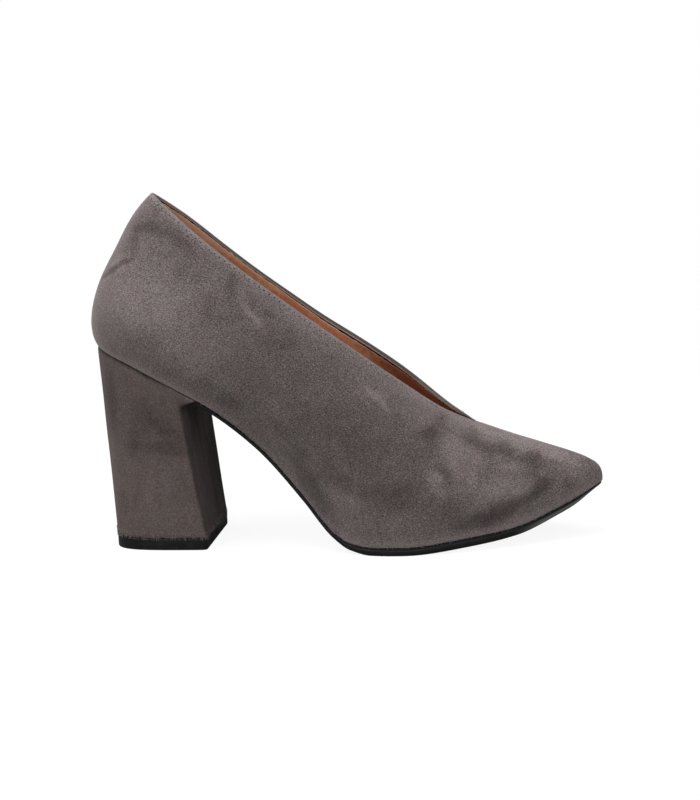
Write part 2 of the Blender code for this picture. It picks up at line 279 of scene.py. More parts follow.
# %% Two kinds of curve
def monotone_curve(places, values):
    """A smooth curve through a table that never overshoots it, so level stretches stay level."""
    places, values = np.asarray(places, float), np.asarray(values, float)
    steps, slopes = np.diff(places), np.diff(values) / np.diff(places)
    tangents = np.concatenate([[slopes[0]], np.zeros(len(places) - 2), [slopes[-1]]])
    for i in range(1, len(places) - 1):
        if slopes[i - 1] * slopes[i] > 0:
            before, after = 2 * steps[i] + steps[i - 1], steps[i] + 2 * steps[i - 1]
            tangents[i] = (before + after) / (before / slopes[i - 1] + after / slopes[i])

    def at(place):
        i = np.clip(np.searchsorted(places, place) - 1, 0, len(steps) - 1)
        f = (place - places[i]) / steps[i]
        rise = values[i + 1] - values[i]
        start, end = tangents[i] * steps[i], tangents[i + 1] * steps[i]
        return values[i] + f * (start + f * (3 * rise - 2 * start - end + f * (start + end - 2 * rise)))

    return at


def smooth_curve(rows, closed=True):
    """A smooth curve through the rows, one unit of its parameter to a row."""
    rows = np.asarray(rows, float)
    count = len(rows)
    matrix = 4 * np.eye(count) + np.roll(np.eye(count), 1, 0) + np.roll(np.eye(count), -1, 0)
    turns = 6 * (np.roll(rows, 1, 0) - 2 * rows + np.roll(rows, -1, 0))
    if not closed:
        matrix[[0, -1]] = np.eye(count)[[0, -1]]
        turns[[0, -1]] = 0
    bends = np.linalg.solve(matrix, turns)

    def at(s):
        whole = np.floor(s).astype(int)
        first = whole if closed else np.minimum(whole, count - 2)
        f = (np.asarray(s) - first)[..., None]
        i, j, g = first % count, (first + 1) % count, 1 - f
        return g * rows[i] + f * rows[j] + ((g**3 - g) * bends[i] + (f**3 - f) * bends[j]) / 6

    return at


# %% Curves of this last
def round_the_last(lateral_rows, medial_rows):
    """One turn round the last: back seam, lateral side, toe tip, medial side."""
    return smooth_curve(lateral_rows + medial_rows[TOE_ROW - 1 : 0 : -1])


def bottom_curve(height):
    """A curve along the bottom, through a height taken from each row of its table."""
    places = [row.along * LENGTH for row in BOTTOM_PROFILE]
    return monotone_curve(places, [height(row) for row in BOTTOM_PROFILE])


def topline_curve(rows):
    """The topline from the throat on the lateral side, round the back seam, to the throat again."""
    lateral, medial = [], []
    for row in rows:
        along, height = row.top_along * LENGTH, row.top_height * TOP_HEIGHT
        lateral.append((along, -row.top_lateral * BALL_WIDTH, height))
        medial.append((along, row.top_medial * BALL_WIDTH, height - row.drop))
    return smooth_curve(lateral[::-1] + medial[1:], closed=False)


def ridge_curves(rows):
    points = [(r.top_along * LENGTH, r.top_medial * BALL_WIDTH, r.top_height * TOP_HEIGHT) for r in rows]
    return [monotone_curve(range(THROAT_ROW, TOE_ROW + 1), axis) for axis in zip(*points)]


sole_thickness = bottom_curve(lambda row: row.sole)
bottom_height = bottom_curve(lambda row: row.clearance * HEEL_HEIGHT + row.sole + GAP)
feather_plan = round_the_last(
    [(row.along * LENGTH, -row.lateral * BALL_WIDTH) for row in SECTIONS],
    [(row.along * LENGTH, row.medial * BALL_WIDTH) for row in SECTIONS],
)
wall_handles = round_the_last(*[[(row.out, row.up, row.lean, row.pull) for row in SECTIONS]] * 2)
topline = topline_curve(SECTIONS[: THROAT_ROW + 1])
ridge = ridge_curves(SECTIONS[THROAT_ROW:])
THROAT = np.array([axis(THROAT_ROW) for axis in ridge])
RIDGE_FALL = (ridge[2](TOE_ROW) - THROAT[2]) / (ridge[0](TOE_ROW) - THROAT[0])
print("the throat lies at", THROAT.round(1))


# %% Places on the last
def bottom_slope(along):
    step = 0.5
    return (bottom_height(along + step) - bottom_height(along - step)) / (2 * step)


def square_to_bottom(along, thickness):
    """Height that a thickness measured square to the sloping bottom takes up."""
    return thickness * np.hypot(1, bottom_slope(along))


def outward_normal(s):
    """Direction along the floor that points away from the last, square to the feather edge."""
    step = 0.02
    along, across = (feather_plan(s + step) - feather_plan(s - step)).T
    return np.column_stack([across, -along]) / np.hypot(along, across)[:, None]


def feather(s, outward=0.0):
    """Points of the feather edge, or places on the bottom that lie outward of it."""
    plan = feather_plan(s) + np.reshape(outward, (-1, 1)) * outward_normal(s)
    return np.column_stack([plan, bottom_height(plan[:, 0])])


def from_back(s):
    return np.minimum(s, LOOP_ROWS - s)


def top_edge(s):
    """The topline, or past the throat the ridge, above these places of the feather edge."""
    rows = from_back(s)
    on_ridge = np.column_stack([axis(np.maximum(rows, THROAT_ROW)) for axis in ridge])
    turn = np.where(s <= TOE_ROW, -1, 1) * np.minimum(rows, THROAT_ROW)
    return np.where((rows >= THROAT_ROW)[:, None], on_ridge, topline(THROAT_ROW + turn))


def wall(s, shares):
    """Points up the wall at each place s, from the feather edge to the top edge, on Bezier arcs."""
    out, up, lean, pull = wall_handles(s).T[..., None]
    start, end = feather(s), top_edge(s)
    outward = np.column_stack([outward_normal(s), np.zeros(len(s))])
    slope = bottom_slope(start[:, 0])
    upward = np.column_stack([-slope, np.zeros(len(s)), np.ones(len(s))]) / np.hypot(1, slope)[:, None]
    tilt = np.radians(np.minimum(lean, 90))
    inward = -outward - np.sin(tilt) * outward[:, :1] * RIDGE_FALL * np.array([0, 0, 1])
    arrival = np.sin(tilt) * inward + np.cos(tilt) * np.array([0, 0, 1])
    low, high = start + out * outward + up * upward, end - pull * arrival
    f = shares[None, :, None]
    g = 1 - f
    start, low, high, end = [points[:, None] for points in (start, low, high, end)]
    return g**3 * start + 3 * g * g * f * low + 3 * g * f * f * high + f**3 * end


# %% [markdown]
# ## Helpers for meshes
# A lofted skin is a grid of points: columns run round the shoe and rows run up it. Blender can loft with
# curves and modifiers, but a grid gives a name to every place, so a crease, a stitch or a colour can be put
# there by its size on the shoe. The helpers below turn grids into quads, and quads into pieces.

# %% Grids into pieces
def quads(ids, closed=False):
    """Quads over a grid of vertex numbers, rows first."""
    if closed:
        ids = np.hstack([ids, ids[:, :1]])
    corners = [ids[:-1, :-1], ids[:-1, 1:], ids[1:, 1:], ids[1:, :-1]]
    return np.stack(corners, -1).reshape(-1, 4)


def numbered(shape, first=0):
    return first + np.arange(shape[0] * shape[1]).reshape(shape[:2])


def normals_of(grid, closed=True):
    """Outward normals of a grid of points, rows going up and columns round the shoe."""
    if closed:
        wide = np.concatenate([grid[:, -1:], grid, grid[:, :1]], 1)
        along = wide[:, 2:] - wide[:, :-2]
    else:
        along = np.gradient(grid, axis=1)
    normal = np.cross(along, np.gradient(grid, axis=0))
    return normal / np.maximum(np.linalg.norm(normal, axis=2, keepdims=True), 1e-9)


def add_piece(name, points, faces, finish, replaces=None, slot=None, sharp=60, **attributes):
    """A mesh piece on the shoe's body. Attributes are one number for each point."""
    used, faces = np.unique(faces, return_inverse=True)
    corners = [list(dict.fromkeys(face)) for face in faces.reshape(-1, 4).tolist()]
    data = bpy.data.meshes.new(name)
    data.from_pydata(in_frame(points)[used].tolist(), [], [face for face in corners if len(face) > 2])
    data.shade_smooth()
    data.set_sharp_from_angle(angle=math.radians(sharp))
    for label, values in attributes.items():
        made = data.attributes.new(label, "FLOAT", "POINT")
        made.data.foreach_set("value", np.ravel(values)[used].astype(np.float32))
    data.materials.append(finish)
    piece = bpy.data.objects.new(name, data)
    bpy.context.scene.collection.objects.link(piece)
    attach(piece, "root")
    if replaces:
        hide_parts(replaces)
    print(name, "has", sum(len(face) - 2 for face in corners if len(face) > 2), "triangles")
    return piece


def smoothstep(value):
    value = np.clip(value, 0, 1)
    return value * value * (3 - 2 * value)


def drift(points, size, seed):
    """Soft noise from about -1 to 1 at each point, with lumps of that size in millimetres."""
    offset = Vector((seed * 17.3, seed * 5.1, seed * 9.7))
    flat = np.reshape(points, (-1, 3)) / size
    values = [noise.noise(Vector(place) + offset) for place in flat.tolist()]
    return np.reshape(values, np.shape(points)[:-1])


# %% [markdown]
# ## Finishes
# A material is a small tree of nodes. Effects that several materials share are node groups: suede nap is
# used for upper, heel and fringe, leather grain for lining, sock and thread, and rubber skin for sole, top
# piece, tape and needle holes. The groups work from object coordinates, which are metres on the shoe, so a
# scale of 1000 is one lump for each millimetre. Sheen and specular level stay plain values on each shader.

# %% Helpers for node trees
def add_node(tree, kind, settings=(), **inputs):
    """A new node. Each input is a value or a socket to link from, and _ in its name stands for a space."""
    made = tree.nodes.new(kind)
    for label, value in dict(settings).items():
        setattr(made, label, value)
    for label, value in inputs.items():
        connect(tree, value, made.inputs[label.replace("_", " ")])
    return made


def connect(tree, value, socket):
    if isinstance(value, bpy.types.NodeSocket):
        tree.links.new(value, socket)
    else:
        socket.default_value = value


def maths(tree, operation, *values, clamp=False):
    made = add_node(tree, "ShaderNodeMath", {"operation": operation, "use_clamp": clamp})
    for value, socket in zip(values, made.inputs):
        connect(tree, value, socket)
    return made.outputs[0]


def mix_colours(tree, share, first, second, blend="MIX"):
    made = add_node(tree, "ShaderNodeMix", {"data_type": "RGBA", "blend_type": blend})
    for value, index in ((share, 0), (first, 6), (second, 7)):
        connect(tree, value, made.inputs[index])
    return made.outputs[2]


def noise_value(tree, coords, scale, detail=2.0, roughness=0.5):
    values = {"Vector": coords, "Scale": scale, "Detail": detail, "Roughness": roughness}
    return add_node(tree, "ShaderNodeTexNoise", **values).outputs[0]


def span(tree, value, low, high, to_low=0.0, to_high=1.0):
    """Maps low to high onto to_low to to_high, and holds the ends."""
    limits = {"From_Min": low, "From_Max": high, "To_Min": to_low, "To_Max": to_high}
    return add_node(tree, "ShaderNodeMapRange", Value=value, **limits).outputs[0]


def stretched(tree, scale, turn=(0, 0, 0)):
    coords = add_node(tree, "ShaderNodeTexCoord").outputs["Object"]
    return add_node(tree, "ShaderNodeMapping", Vector=coords, Scale=scale, Rotation=turn).outputs[0]


COMB_BEND, COMB_DRAWN = 1.8, 1.7


def combed(tree, density):
    """Coordinates that follow the shoe's line: drawn out along it, close together across it, and bent."""
    parts = add_node(tree, "ShaderNodeSeparateXYZ", Vector=stretched(tree, (1, 1, 1))).outputs
    bend = maths(tree, "MULTIPLY", maths(tree, "MULTIPLY", parts[0], parts[0]), COMB_BEND)
    across = maths(tree, "MULTIPLY", maths(tree, "ADD", parts[2], bend), density)
    along = maths(tree, "DIVIDE", parts[0], COMB_DRAWN)
    return add_node(tree, "ShaderNodeCombineXYZ", X=along, Y=parts[1], Z=across).outputs[0]


def new_group(name, inputs, outputs):
    """A shader node group. Returns its tree, what comes in by name and what goes out by name."""
    tree = bpy.data.node_groups.new(name, "ShaderNodeTree")
    for label, value in inputs.items():
        kind = "NodeSocketFloat" if isinstance(value, float) else "NodeSocketColor"
        tree.interface.new_socket(label, in_out="INPUT", socket_type=kind).default_value = value
    for label in outputs:
        kind = "NodeSocketColor" if label == "Colour" else "NodeSocketFloat"
        tree.interface.new_socket(label, in_out="OUTPUT", socket_type=kind)
    return tree, tree.nodes.new("NodeGroupInput").outputs, tree.nodes.new("NodeGroupOutput").inputs


def colour(red, green, blue):
    """A colour as an eye or a picture program reads it, 0 to 255, turned into the values Blender mixes."""
    shares = [value / 255 for value in (red, green, blue)]
    return (*[s / 12.92 if s < 0.04045 else ((s + 0.055) / 1.055) ** 2.4 for s in shares], 1)


# %% [markdown]
# Suede is the flesh side of a hide, buffed until short fibres stand up. Stroked one way they look light,
# and the other way dark, so a worn or handled shoe is all soft patches. The patches come from two places:
# the attribute nap, painted on the mesh by listed strokes and also holding painted highlight and shade,
# and three sizes of noise for clouds, small tufts and single fibres. The fibres are combed: their noise is
# drawn out along the shoe and bent with it.

# %% Suede nap group
CLOUD_SCALE, TUFT_SCALE, FIBRE_SCALE, HUE_SCALE = 60, 420, 2700, 95
TUFT_STRETCH, TUFT_TURN = (1, 1, 0.55), (0, 0.7, 0)
GRAIN_STRENGTH = 4.8
WARMER, COOLER = (1.022, 0.988, 0.994, 1), (0.982, 1.006, 1.0, 1)


def suede_nap_group():
    inputs = {
        "Nap": 0.0,
        "Dark": colour(56, 50, 50),
        "Middle": colour(104, 94, 93),
        "Light": colour(158, 147, 145),
        "Clouds": 0.3,
        "Fibres": 1.0,
        "Comb": 1.5,
    }
    tree, given, out = new_group("Suede nap", inputs, ["Colour", "Roughness", "Height"])
    plain = stretched(tree, (1, 1, 1))
    brushed = stretched(tree, TUFT_STRETCH, TUFT_TURN)
    clouds = maths(tree, "SUBTRACT", noise_value(tree, plain, CLOUD_SCALE, 4, 0.6), 0.5)
    tufts = maths(tree, "SUBTRACT", noise_value(tree, brushed, TUFT_SCALE, 3, 0.7), 0.5)
    strands = noise_value(tree, combed(tree, given["Comb"]), FIBRE_SCALE, 2, 0.7)
    fibres = maths(tree, "SUBTRACT", strands, 0.5)
    lie = maths(tree, "MULTIPLY_ADD", clouds, given["Clouds"], given["Nap"])
    lie = maths(tree, "MULTIPLY_ADD", tufts, span(tree, given["Nap"], -0.45, 0.05, 0.6, 0.16), lie)
    raised = span(tree, given["Nap"], -0.5, 0.5, 0.95, 1.3)
    grain = maths(tree, "MULTIPLY", maths(tree, "MULTIPLY", fibres, raised), given["Fibres"])
    lie = maths(tree, "MULTIPLY_ADD", grain, GRAIN_STRENGTH, lie)
    darker = mix_colours(tree, span(tree, lie, -1, 0), given["Dark"], given["Middle"])
    mixed = mix_colours(tree, span(tree, lie, 0, 1), darker, given["Light"])
    hue = noise_value(tree, plain, HUE_SCALE, 3)
    warm = mix_colours(tree, 1.0, mixed, WARMER, "MULTIPLY")
    cool = mix_colours(tree, 1.0, mixed, COOLER, "MULTIPLY")
    tree.links.new(mix_colours(tree, span(tree, hue, 0.38, 0.62), cool, warm), out["Colour"])
    tree.links.new(span(tree, lie, -1, 1, 0.97, 0.86), out["Roughness"])
    tree.links.new(maths(tree, "MULTIPLY_ADD", tufts, 0.5, grain), out["Height"])
    return tree


suede_nap = suede_nap_group()
print("made group", suede_nap.name)

# %% [markdown]
# Leather has a pebbled face with pores, small pits that hold more dye. Rubber is nearly black and has dust,
# drag marks and a fine stipple, which only show where they catch the light.

# %% Leather grain group
def leather_grain_group():
    inputs = {"Tan": colour(255, 210, 176), "Shade": colour(226, 164, 124), "Pores": 900.0}
    tree, given, out = new_group("Leather grain", inputs, ["Colour", "Roughness", "Height"])
    plain = stretched(tree, (1, 1, 1))
    pores = add_node(tree, "ShaderNodeTexVoronoi", Vector=plain, Scale=given["Pores"], Randomness=0.9)
    pebble = noise_value(tree, plain, 520, 3, 0.65)
    clouds = noise_value(tree, plain, 70, 3, 0.55)
    pit = span(tree, pores.outputs[0], 0.12, 0.3)
    tone = maths(tree, "MULTIPLY_ADD", maths(tree, "SUBTRACT", pebble, 0.5), 1.3, clouds)
    dyed = mix_colours(tree, span(tree, tone, 0.3, 0.72), given["Shade"], given["Tan"])
    tree.links.new(mix_colours(tree, pit, given["Shade"], dyed), out["Colour"])
    tree.links.new(span(tree, tone, 0.3, 0.7, 0.62, 0.5), out["Roughness"])
    tree.links.new(maths(tree, "MULTIPLY_ADD", pit, 0.6, pebble), out["Height"])
    return tree


leather_grain = leather_grain_group()
print("made group", leather_grain.name)


# %% Rubber skin group
def rubber_skin_group():
    inputs = {"Black": colour(17, 18, 20), "Worn": colour(46, 46, 49), "Scuffs": 0.3}
    tree, given, out = new_group("Rubber skin", inputs, ["Colour", "Roughness", "Height"])
    plain = stretched(tree, (1, 1, 1))
    level = stretched(tree, (0.25, 0.25, 1))
    dust = noise_value(tree, plain, 160, 4, 0.65)
    drags = noise_value(tree, level, 900, 3, 0.6)
    stipple = noise_value(tree, plain, 1400, 2)
    scuffed = span(tree, maths(tree, "MULTIPLY", dust, drags), 0.2, 0.42)
    worn = maths(tree, "MULTIPLY", scuffed, given["Scuffs"])
    tree.links.new(mix_colours(tree, worn, given["Black"], given["Worn"]), out["Colour"])
    tree.links.new(span(tree, maths(tree, "ADD", dust, worn), 0.3, 0.9, 0.38, 0.62), out["Roughness"])
    tree.links.new(maths(tree, "MULTIPLY_ADD", drags, 0.5, stipple), out["Height"])
    return tree


rubber_skin = rubber_skin_group()
print("made group", rubber_skin.name)


# %% [markdown]
# Each finish places a group, sets its colours and adds what is its own. Suede gets sheen, the glow of
# fibres seen edge on, which lightens the ridge of the vamp and the back of the heel. More attributes colour
# the turned-in edge of the upper and its raw cut, spread near the throat as painted light, the lining's
# darker vamp with painted shade under its edge and its paler top edge, and the toe of the sole, pale grey
# from scuffing and from a painted reflection of the floor.

# %% Finishes
def finish_with(name, group, bump, depth, constants, **values):
    """A Principled material whose colour, roughness and bump come from a node group."""
    finish = bpy.data.materials.new(name)
    finish.use_nodes = True
    tree = finish.node_tree
    shader = tree.nodes["Principled BSDF"]
    placed = tree.nodes.new("ShaderNodeGroup")
    placed.node_tree = group
    for label, value in values.items():
        placed.inputs[label].default_value = value
    height = placed.outputs["Height"]
    relief = add_node(tree, "ShaderNodeBump", Height=height, Strength=bump, Distance=depth * MM)
    tree.links.new(placed.outputs["Colour"], shader.inputs["Base Color"])
    tree.links.new(placed.outputs["Roughness"], shader.inputs["Roughness"])
    tree.links.new(relief.outputs[0], shader.inputs["Normal"])
    for label, value in constants.items():
        shader.inputs[label].default_value = value
    return finish, tree, placed, shader


def read_attribute(tree, label):
    return add_node(tree, "ShaderNodeAttribute", {"attribute_name": label}).outputs["Fac"]


SUEDE = {
    "Specular IOR Level": 0.15,
    "Sheen Weight": 0.7,
    "Sheen Roughness": 0.45,
    "Sheen Tint": colour(205, 196, 194),
}
HEEL_SUEDE_SHEEN = {**SUEDE, "Sheen Weight": 0.15}
LEATHER = {"Specular IOR Level": 0.35}
RUBBER = {"Specular IOR Level": 0.3}
MATT = {"Specular IOR Level": 0.1}
COTTON = {"Sheen Weight": 0.2}
TURNED_SUEDE, RAW_SUEDE = colour(87, 84, 84), colour(228, 218, 208)
# Multiplies the lining darker toward the vamp, and as painted shade below its top edge.
VAMP_LINING = (0.36, 0.26, 0.23, 1)
# The paler colour along the lining's top edge.
RUBBED_LINING = colour(252, 210, 184)
# Pale grey for the low toe edge: scuffing, and a painted reflection of the floor.
WORN_SOLE = colour(112, 113, 116)
HEEL_TONES = {
    "Dark": colour(34, 31, 30),
    "Middle": colour(102, 91, 88),
    "Light": colour(148, 136, 132),
    "Fibres": 0.38,
    "Comb": 0.6,
}
SOCK_TONES = {"Tan": colour(240, 172, 124), "Shade": colour(216, 146, 100)}
THREAD_TONES = {"Tan": colour(146, 146, 151), "Shade": colour(114, 113, 118), "Pores": 4000.0}
# Nearly black: the tape stands in for the shadow in the gap above the lining.
TAPE_TONES = {"Black": colour(14, 11, 10), "Worn": colour(28, 22, 20)}
# Dark colour of the needle holes: painted shade for the hollow of each hole.
HOLE_TONES = {"Black": colour(30, 26, 26), "Worn": colour(46, 42, 42)}


def upper_suede():
    finish, tree, placed, shader = finish_with("upper_suede", suede_nap, 0.4, 0.3, SUEDE)
    tree.links.new(read_attribute(tree, "nap"), placed.inputs["Nap"])
    outside = placed.outputs["Colour"]
    turned = mix_colours(tree, read_attribute(tree, "turned"), outside, TURNED_SUEDE)
    cut = mix_colours(tree, read_attribute(tree, "raw"), turned, RAW_SUEDE)
    tree.links.new(cut, shader.inputs["Base Color"])
    return finish


def heel_suede():
    made = finish_with("heel_suede", suede_nap, 0.45, 0.3, HEEL_SUEDE_SHEEN, **HEEL_TONES)
    finish, tree, placed = made[:3]
    tree.links.new(read_attribute(tree, "nap"), placed.inputs["Nap"])
    return finish


def lining_leather():
    finish, tree, placed, shader = finish_with("lining_leather", leather_grain, 0.35, 0.3, LEATHER)
    in_vamp = read_attribute(tree, "vamp")
    rubbed = mix_colours(tree, read_attribute(tree, "rubbed"), placed.outputs["Colour"], RUBBED_LINING)
    deeper = mix_colours(tree, 1.0, rubbed, VAMP_LINING, "MULTIPLY")
    tree.links.new(mix_colours(tree, in_vamp, rubbed, deeper), shader.inputs["Base Color"])
    return finish


def sole_rubber():
    finish, tree, placed, shader = finish_with("sole_rubber", rubber_skin, 0.25, 0.2, RUBBER)
    worn = mix_colours(tree, read_attribute(tree, "wear"), placed.outputs["Colour"], WORN_SOLE)
    tree.links.new(worn, shader.inputs["Base Color"])
    return finish


UPPER_SUEDE = upper_suede()
HEEL_SUEDE = heel_suede()
LOOSE_FIBRE = finish_with("loose_fibre", suede_nap, 0.1, 0.1, SUEDE, Nap=0.25)[0]
LINING_LEATHER = lining_leather()
SOCK_LEATHER = finish_with("sock_leather", leather_grain, 0.35, 0.3, LEATHER, **SOCK_TONES)[0]
SOLE_RUBBER = sole_rubber()
TIP_RUBBER = finish_with("tip_rubber", rubber_skin, 0.3, 0.2, RUBBER, Scuffs=0.5)[0]
TAPE_CLOTH = finish_with("tape_cloth", rubber_skin, 0.4, 0.3, MATT, **TAPE_TONES)[0]
THREAD = finish_with("thread", leather_grain, 0.3, 0.2, COTTON, **THREAD_TONES)[0]
NEEDLE_HOLE = finish_with("needle_hole", rubber_skin, 0.2, 0.1, MATT, **HOLE_TONES)[0]
print(len(bpy.data.materials), "finishes")

# %% [markdown]
# ## The upper
# The suede upper is one sheet, pulled over the last, tucked under it at the feather edge and folded over
# at the topline. Here it is one grid. Each column is read from the wall's arc at chosen distances under
# the top, so that rows are close together where the fold and the stitching are. The columns are closer at
# the back seam, which is only a thin groove. A sewn edge is less true than the last, so the near topline
# dips along the quarter and rises beside the back, and the far one lifts at the throat.

# %% Columns and rows of the upper
COLUMNS_PER_ROW = 11
SEAM_COLUMNS = (0.008, 0.018, 0.03, 0.05)
TOP_ZONE, TOP_ROWS = 3.6, 13
FOOT_ZONE, FOOT_ROWS = 2.0, 6
MIDDLE_ROWS = 92
FOLD_RADIUS = 0.8
FOLD_RADIUS_AT_THROAT = 0.06
THROAT_EASE = 0.55
EDGE_LIFT, LIFT_FROM, LIFT_OVER, LIFT_END = 0.65, 8.7, 1.4, 0.5
EDGE_DIP, DIP_FROM, DIP_OVER, DIP_END = 0.55, 1.0, 2.0, 1.5
EDGE_RISE, RISE_OVER, RISE_END, RISE_FALL = 0.7, 0.7, 2.6, 1.6
SHORT_WALL = 30.0

half_turn = np.union1d(np.linspace(0, TOE_ROW, TOE_ROW * COLUMNS_PER_ROW + 1), SEAM_COLUMNS)
PLACES = np.concatenate([half_turn, LOOP_ROWS - half_turn[-2:0:-1]])
MIRROR = -np.arange(len(PLACES)) % len(PLACES)
ON_MEDIAL = PLACES > TOE_ROW
ROWS_ROUND = from_back(PLACES)
IS_OPEN = ROWS_ROUND < THROAT_ROW
OPEN_BAND = np.concatenate([np.where(IS_OPEN & ON_MEDIAL)[0], np.where(IS_OPEN & ~ON_MEDIAL)[0]])


def open_share(s, ease):
    """0 on the ridge and at the throat, rising to 1 along the topline."""
    return smoothstep((THROAT_ROW - from_back(s)) / ease)


def read_from_top(arcs, distances):
    """Reads each arc again at distances measured down from its top."""
    steps = np.linalg.norm(np.diff(arcs[:, ::-1], axis=1), axis=2)
    below = np.hstack([np.zeros((len(arcs), 1)), np.cumsum(steps, 1)])
    picked = [
        np.column_stack([np.interp(row, gone, axis) for axis in arc[::-1].T])
        for arc, gone, row in zip(arcs, below, distances)
    ]
    return np.stack(picked, 1)


def arc_lengths(arcs):
    return np.linalg.norm(np.diff(arcs, axis=1), axis=2).sum(1)


WALL_SHARES = np.linspace(0, 1, 260)
WALL_ARCS = wall(PLACES, WALL_SHARES)
NEAR_THROAT = smoothstep((ROWS_ROUND - LIFT_FROM) / LIFT_OVER)
edge_lift = NEAR_THROAT * open_share(PLACES, LIFT_END) * ON_MEDIAL
edge_dip = smoothstep((ROWS_ROUND - DIP_FROM) / DIP_OVER) * open_share(PLACES, DIP_END) * ~ON_MEDIAL
rise_ends = smoothstep((RISE_END - ROWS_ROUND) / RISE_FALL)
edge_rise = smoothstep(ROWS_ROUND / RISE_OVER) * rise_ends * ~ON_MEDIAL
edge_shift = EDGE_LIFT * edge_lift - EDGE_DIP * edge_dip + EDGE_RISE * edge_rise
WALL_ARCS[..., 2] += edge_shift[:, None] * WALL_SHARES**4
WALL_LENGTHS = arc_lengths(WALL_ARCS)
fold_gain = (FOLD_RADIUS - FOLD_RADIUS_AT_THROAT) * open_share(PLACES, THROAT_EASE)
FOLD = np.where(IS_OPEN, FOLD_RADIUS_AT_THROAT + fold_gain, 0)


def upper_distances():
    """Distances under the top edge of every row, bottom row first."""
    length = (WALL_LENGTHS - FOLD)[:, None]
    scale = np.minimum(1, length / SHORT_WALL)
    top = scale * np.linspace(0, TOP_ZONE, TOP_ROWS)
    foot = length - scale * np.linspace(FOOT_ZONE, 0, FOOT_ROWS)
    share = np.linspace(0, 1, MIDDLE_ROWS)[1:-1]
    middle = top[:, -1:] + share * (foot[:, :1] - top[:, -1:])
    return np.hstack([top, middle, foot])[:, ::-1] + FOLD[:, None]


UPPER_BELOW = upper_distances().T
UPPER_BASE = read_from_top(WALL_ARCS, UPPER_BELOW.T)
print("upper grid:", UPPER_BASE.shape[:2], "wall up to", WALL_LENGTHS.max().round(1), "mm high")

# %% [markdown]
# A soft upper keeps the marks of its making: a wrinkle low on the counter, a pulled streak on the quarter
# and shallow waves where the vamp bends. They are placed as lines in the side view, in millimetres
# along the shoe and above the floor, each with a width and a height. A trough has a low ridge on each side,
# because leather that is pushed in there has to go somewhere. The stitches pull in a trough of their own,
# the back seam is a groove, and the back is slightly hollow above the wrinkle on the counter.

# %% Creases
Crease = namedtuple("Crease", "side line width height")
LATERAL, MEDIAL = -1, 1
CREASES = [
    Crease(LATERAL, [(5, 118), (10, 122), (15, 125), (23, 129)], 0.9, -0.60),
    Crease(LATERAL, [(22, 126), (23, 135), (27, 142), (40, 141)], 3.2, -0.45),
    Crease(LATERAL, [(66, 117), (72, 105), (82, 89)], 1.8, 0.45),
    Crease(LATERAL, [(62, 112), (69, 100), (76, 88)], 3.0, -0.35),
    Crease(LATERAL, [(113, 78), (123, 72), (132, 61), (137, 52)], 2.6, 0.40),
    Crease(LATERAL, [(108, 74), (117, 64), (124, 54)], 2.8, -0.30),
    Crease(LATERAL, [(141, 60), (148, 52), (152, 44)], 3.4, -0.35),
    Crease(LATERAL, [(160, 44), (170, 38), (178, 30)], 3.4, 0.30),
    Crease(LATERAL, [(100, 40), (112, 33), (122, 30)], 4.0, -0.30),
    Crease(MEDIAL, [(5, 121), (14, 124), (23, 124)], 1.2, -0.50),
    Crease(MEDIAL, [(60, 116), (68, 104), (74, 90)], 2.0, -0.40),
    Crease(MEDIAL, [(84, 84), (94, 74), (100, 60)], 2.6, 0.40),
    Crease(MEDIAL, [(118, 70), (128, 60), (134, 48)], 2.4, 0.40),
    Crease(MEDIAL, [(126, 70), (136, 60), (143, 48)], 2.8, -0.35),
]
STITCH_DEPTH = 2.0
SHOULDER, SHOULDER_AT, SHOULDER_TIGHT = 0.35, 2.1, 1.4
CREASE_EASE, CREASE_START = 3, 0.15
STITCH_TROUGH, STITCH_TROUGH_WIDTH, TROUGH_EASE = 0.16, 0.45, 0.4
SEAM_TROUGH, SEAM_WIDTH = 0.35, 0.45
SEAM_DARK = 0.3
SURFACE_WAVE, WAVE_SIZE = 0.14, 26
CREASES_START_ABOVE = 4
BACK_HOLLOW, HOLLOW_HEIGHT, HOLLOW_REACH, HOLLOW_ROUND = 0.9, 132.0, 11.0, 18.0


def line_distance(across, up, line):
    """Distance in the side view to a line of points, and how far along it the nearest place is."""
    nearest = np.full(across.shape, 1e9)
    share = np.zeros(across.shape)
    line = np.array(line, float)
    for number, (start, end) in enumerate(zip(line, line[1:])):
        run = end - start
        f = np.clip(((across - start[0]) * run[0] + (up - start[1]) * run[1]) / (run @ run), 0, 1)
        away = np.hypot(across - start[0] - f * run[0], up - start[1] - f * run[1])
        share = np.where(away < nearest, (number + f) / (len(line) - 1), share)
        nearest = np.minimum(nearest, away)
    return nearest, share


def crease_height(points, medial):
    total = np.zeros(points.shape[:2])
    for crease in CREASES:
        away, share = line_distance(points[..., 0], points[..., 2], crease.line)
        across = away / crease.width
        shape = np.exp(-across**2) - SHOULDER * np.exp(-((across - SHOULDER_AT) ** 2) * SHOULDER_TIGHT)
        ends = smoothstep(share * CREASE_EASE + CREASE_START)
        ends = ends * smoothstep((1 - share) * CREASE_EASE + CREASE_START)
        total += crease.height * shape * ends * (medial == (crease.side == MEDIAL))
    return total


first_row = np.linalg.norm(feather(np.array([1.0])) - feather(np.array([0.0])))
FROM_SEAM = ROWS_ROUND * first_row
BACK_SEAM = np.exp(-((FROM_SEAM / SEAM_WIDTH) ** 2))


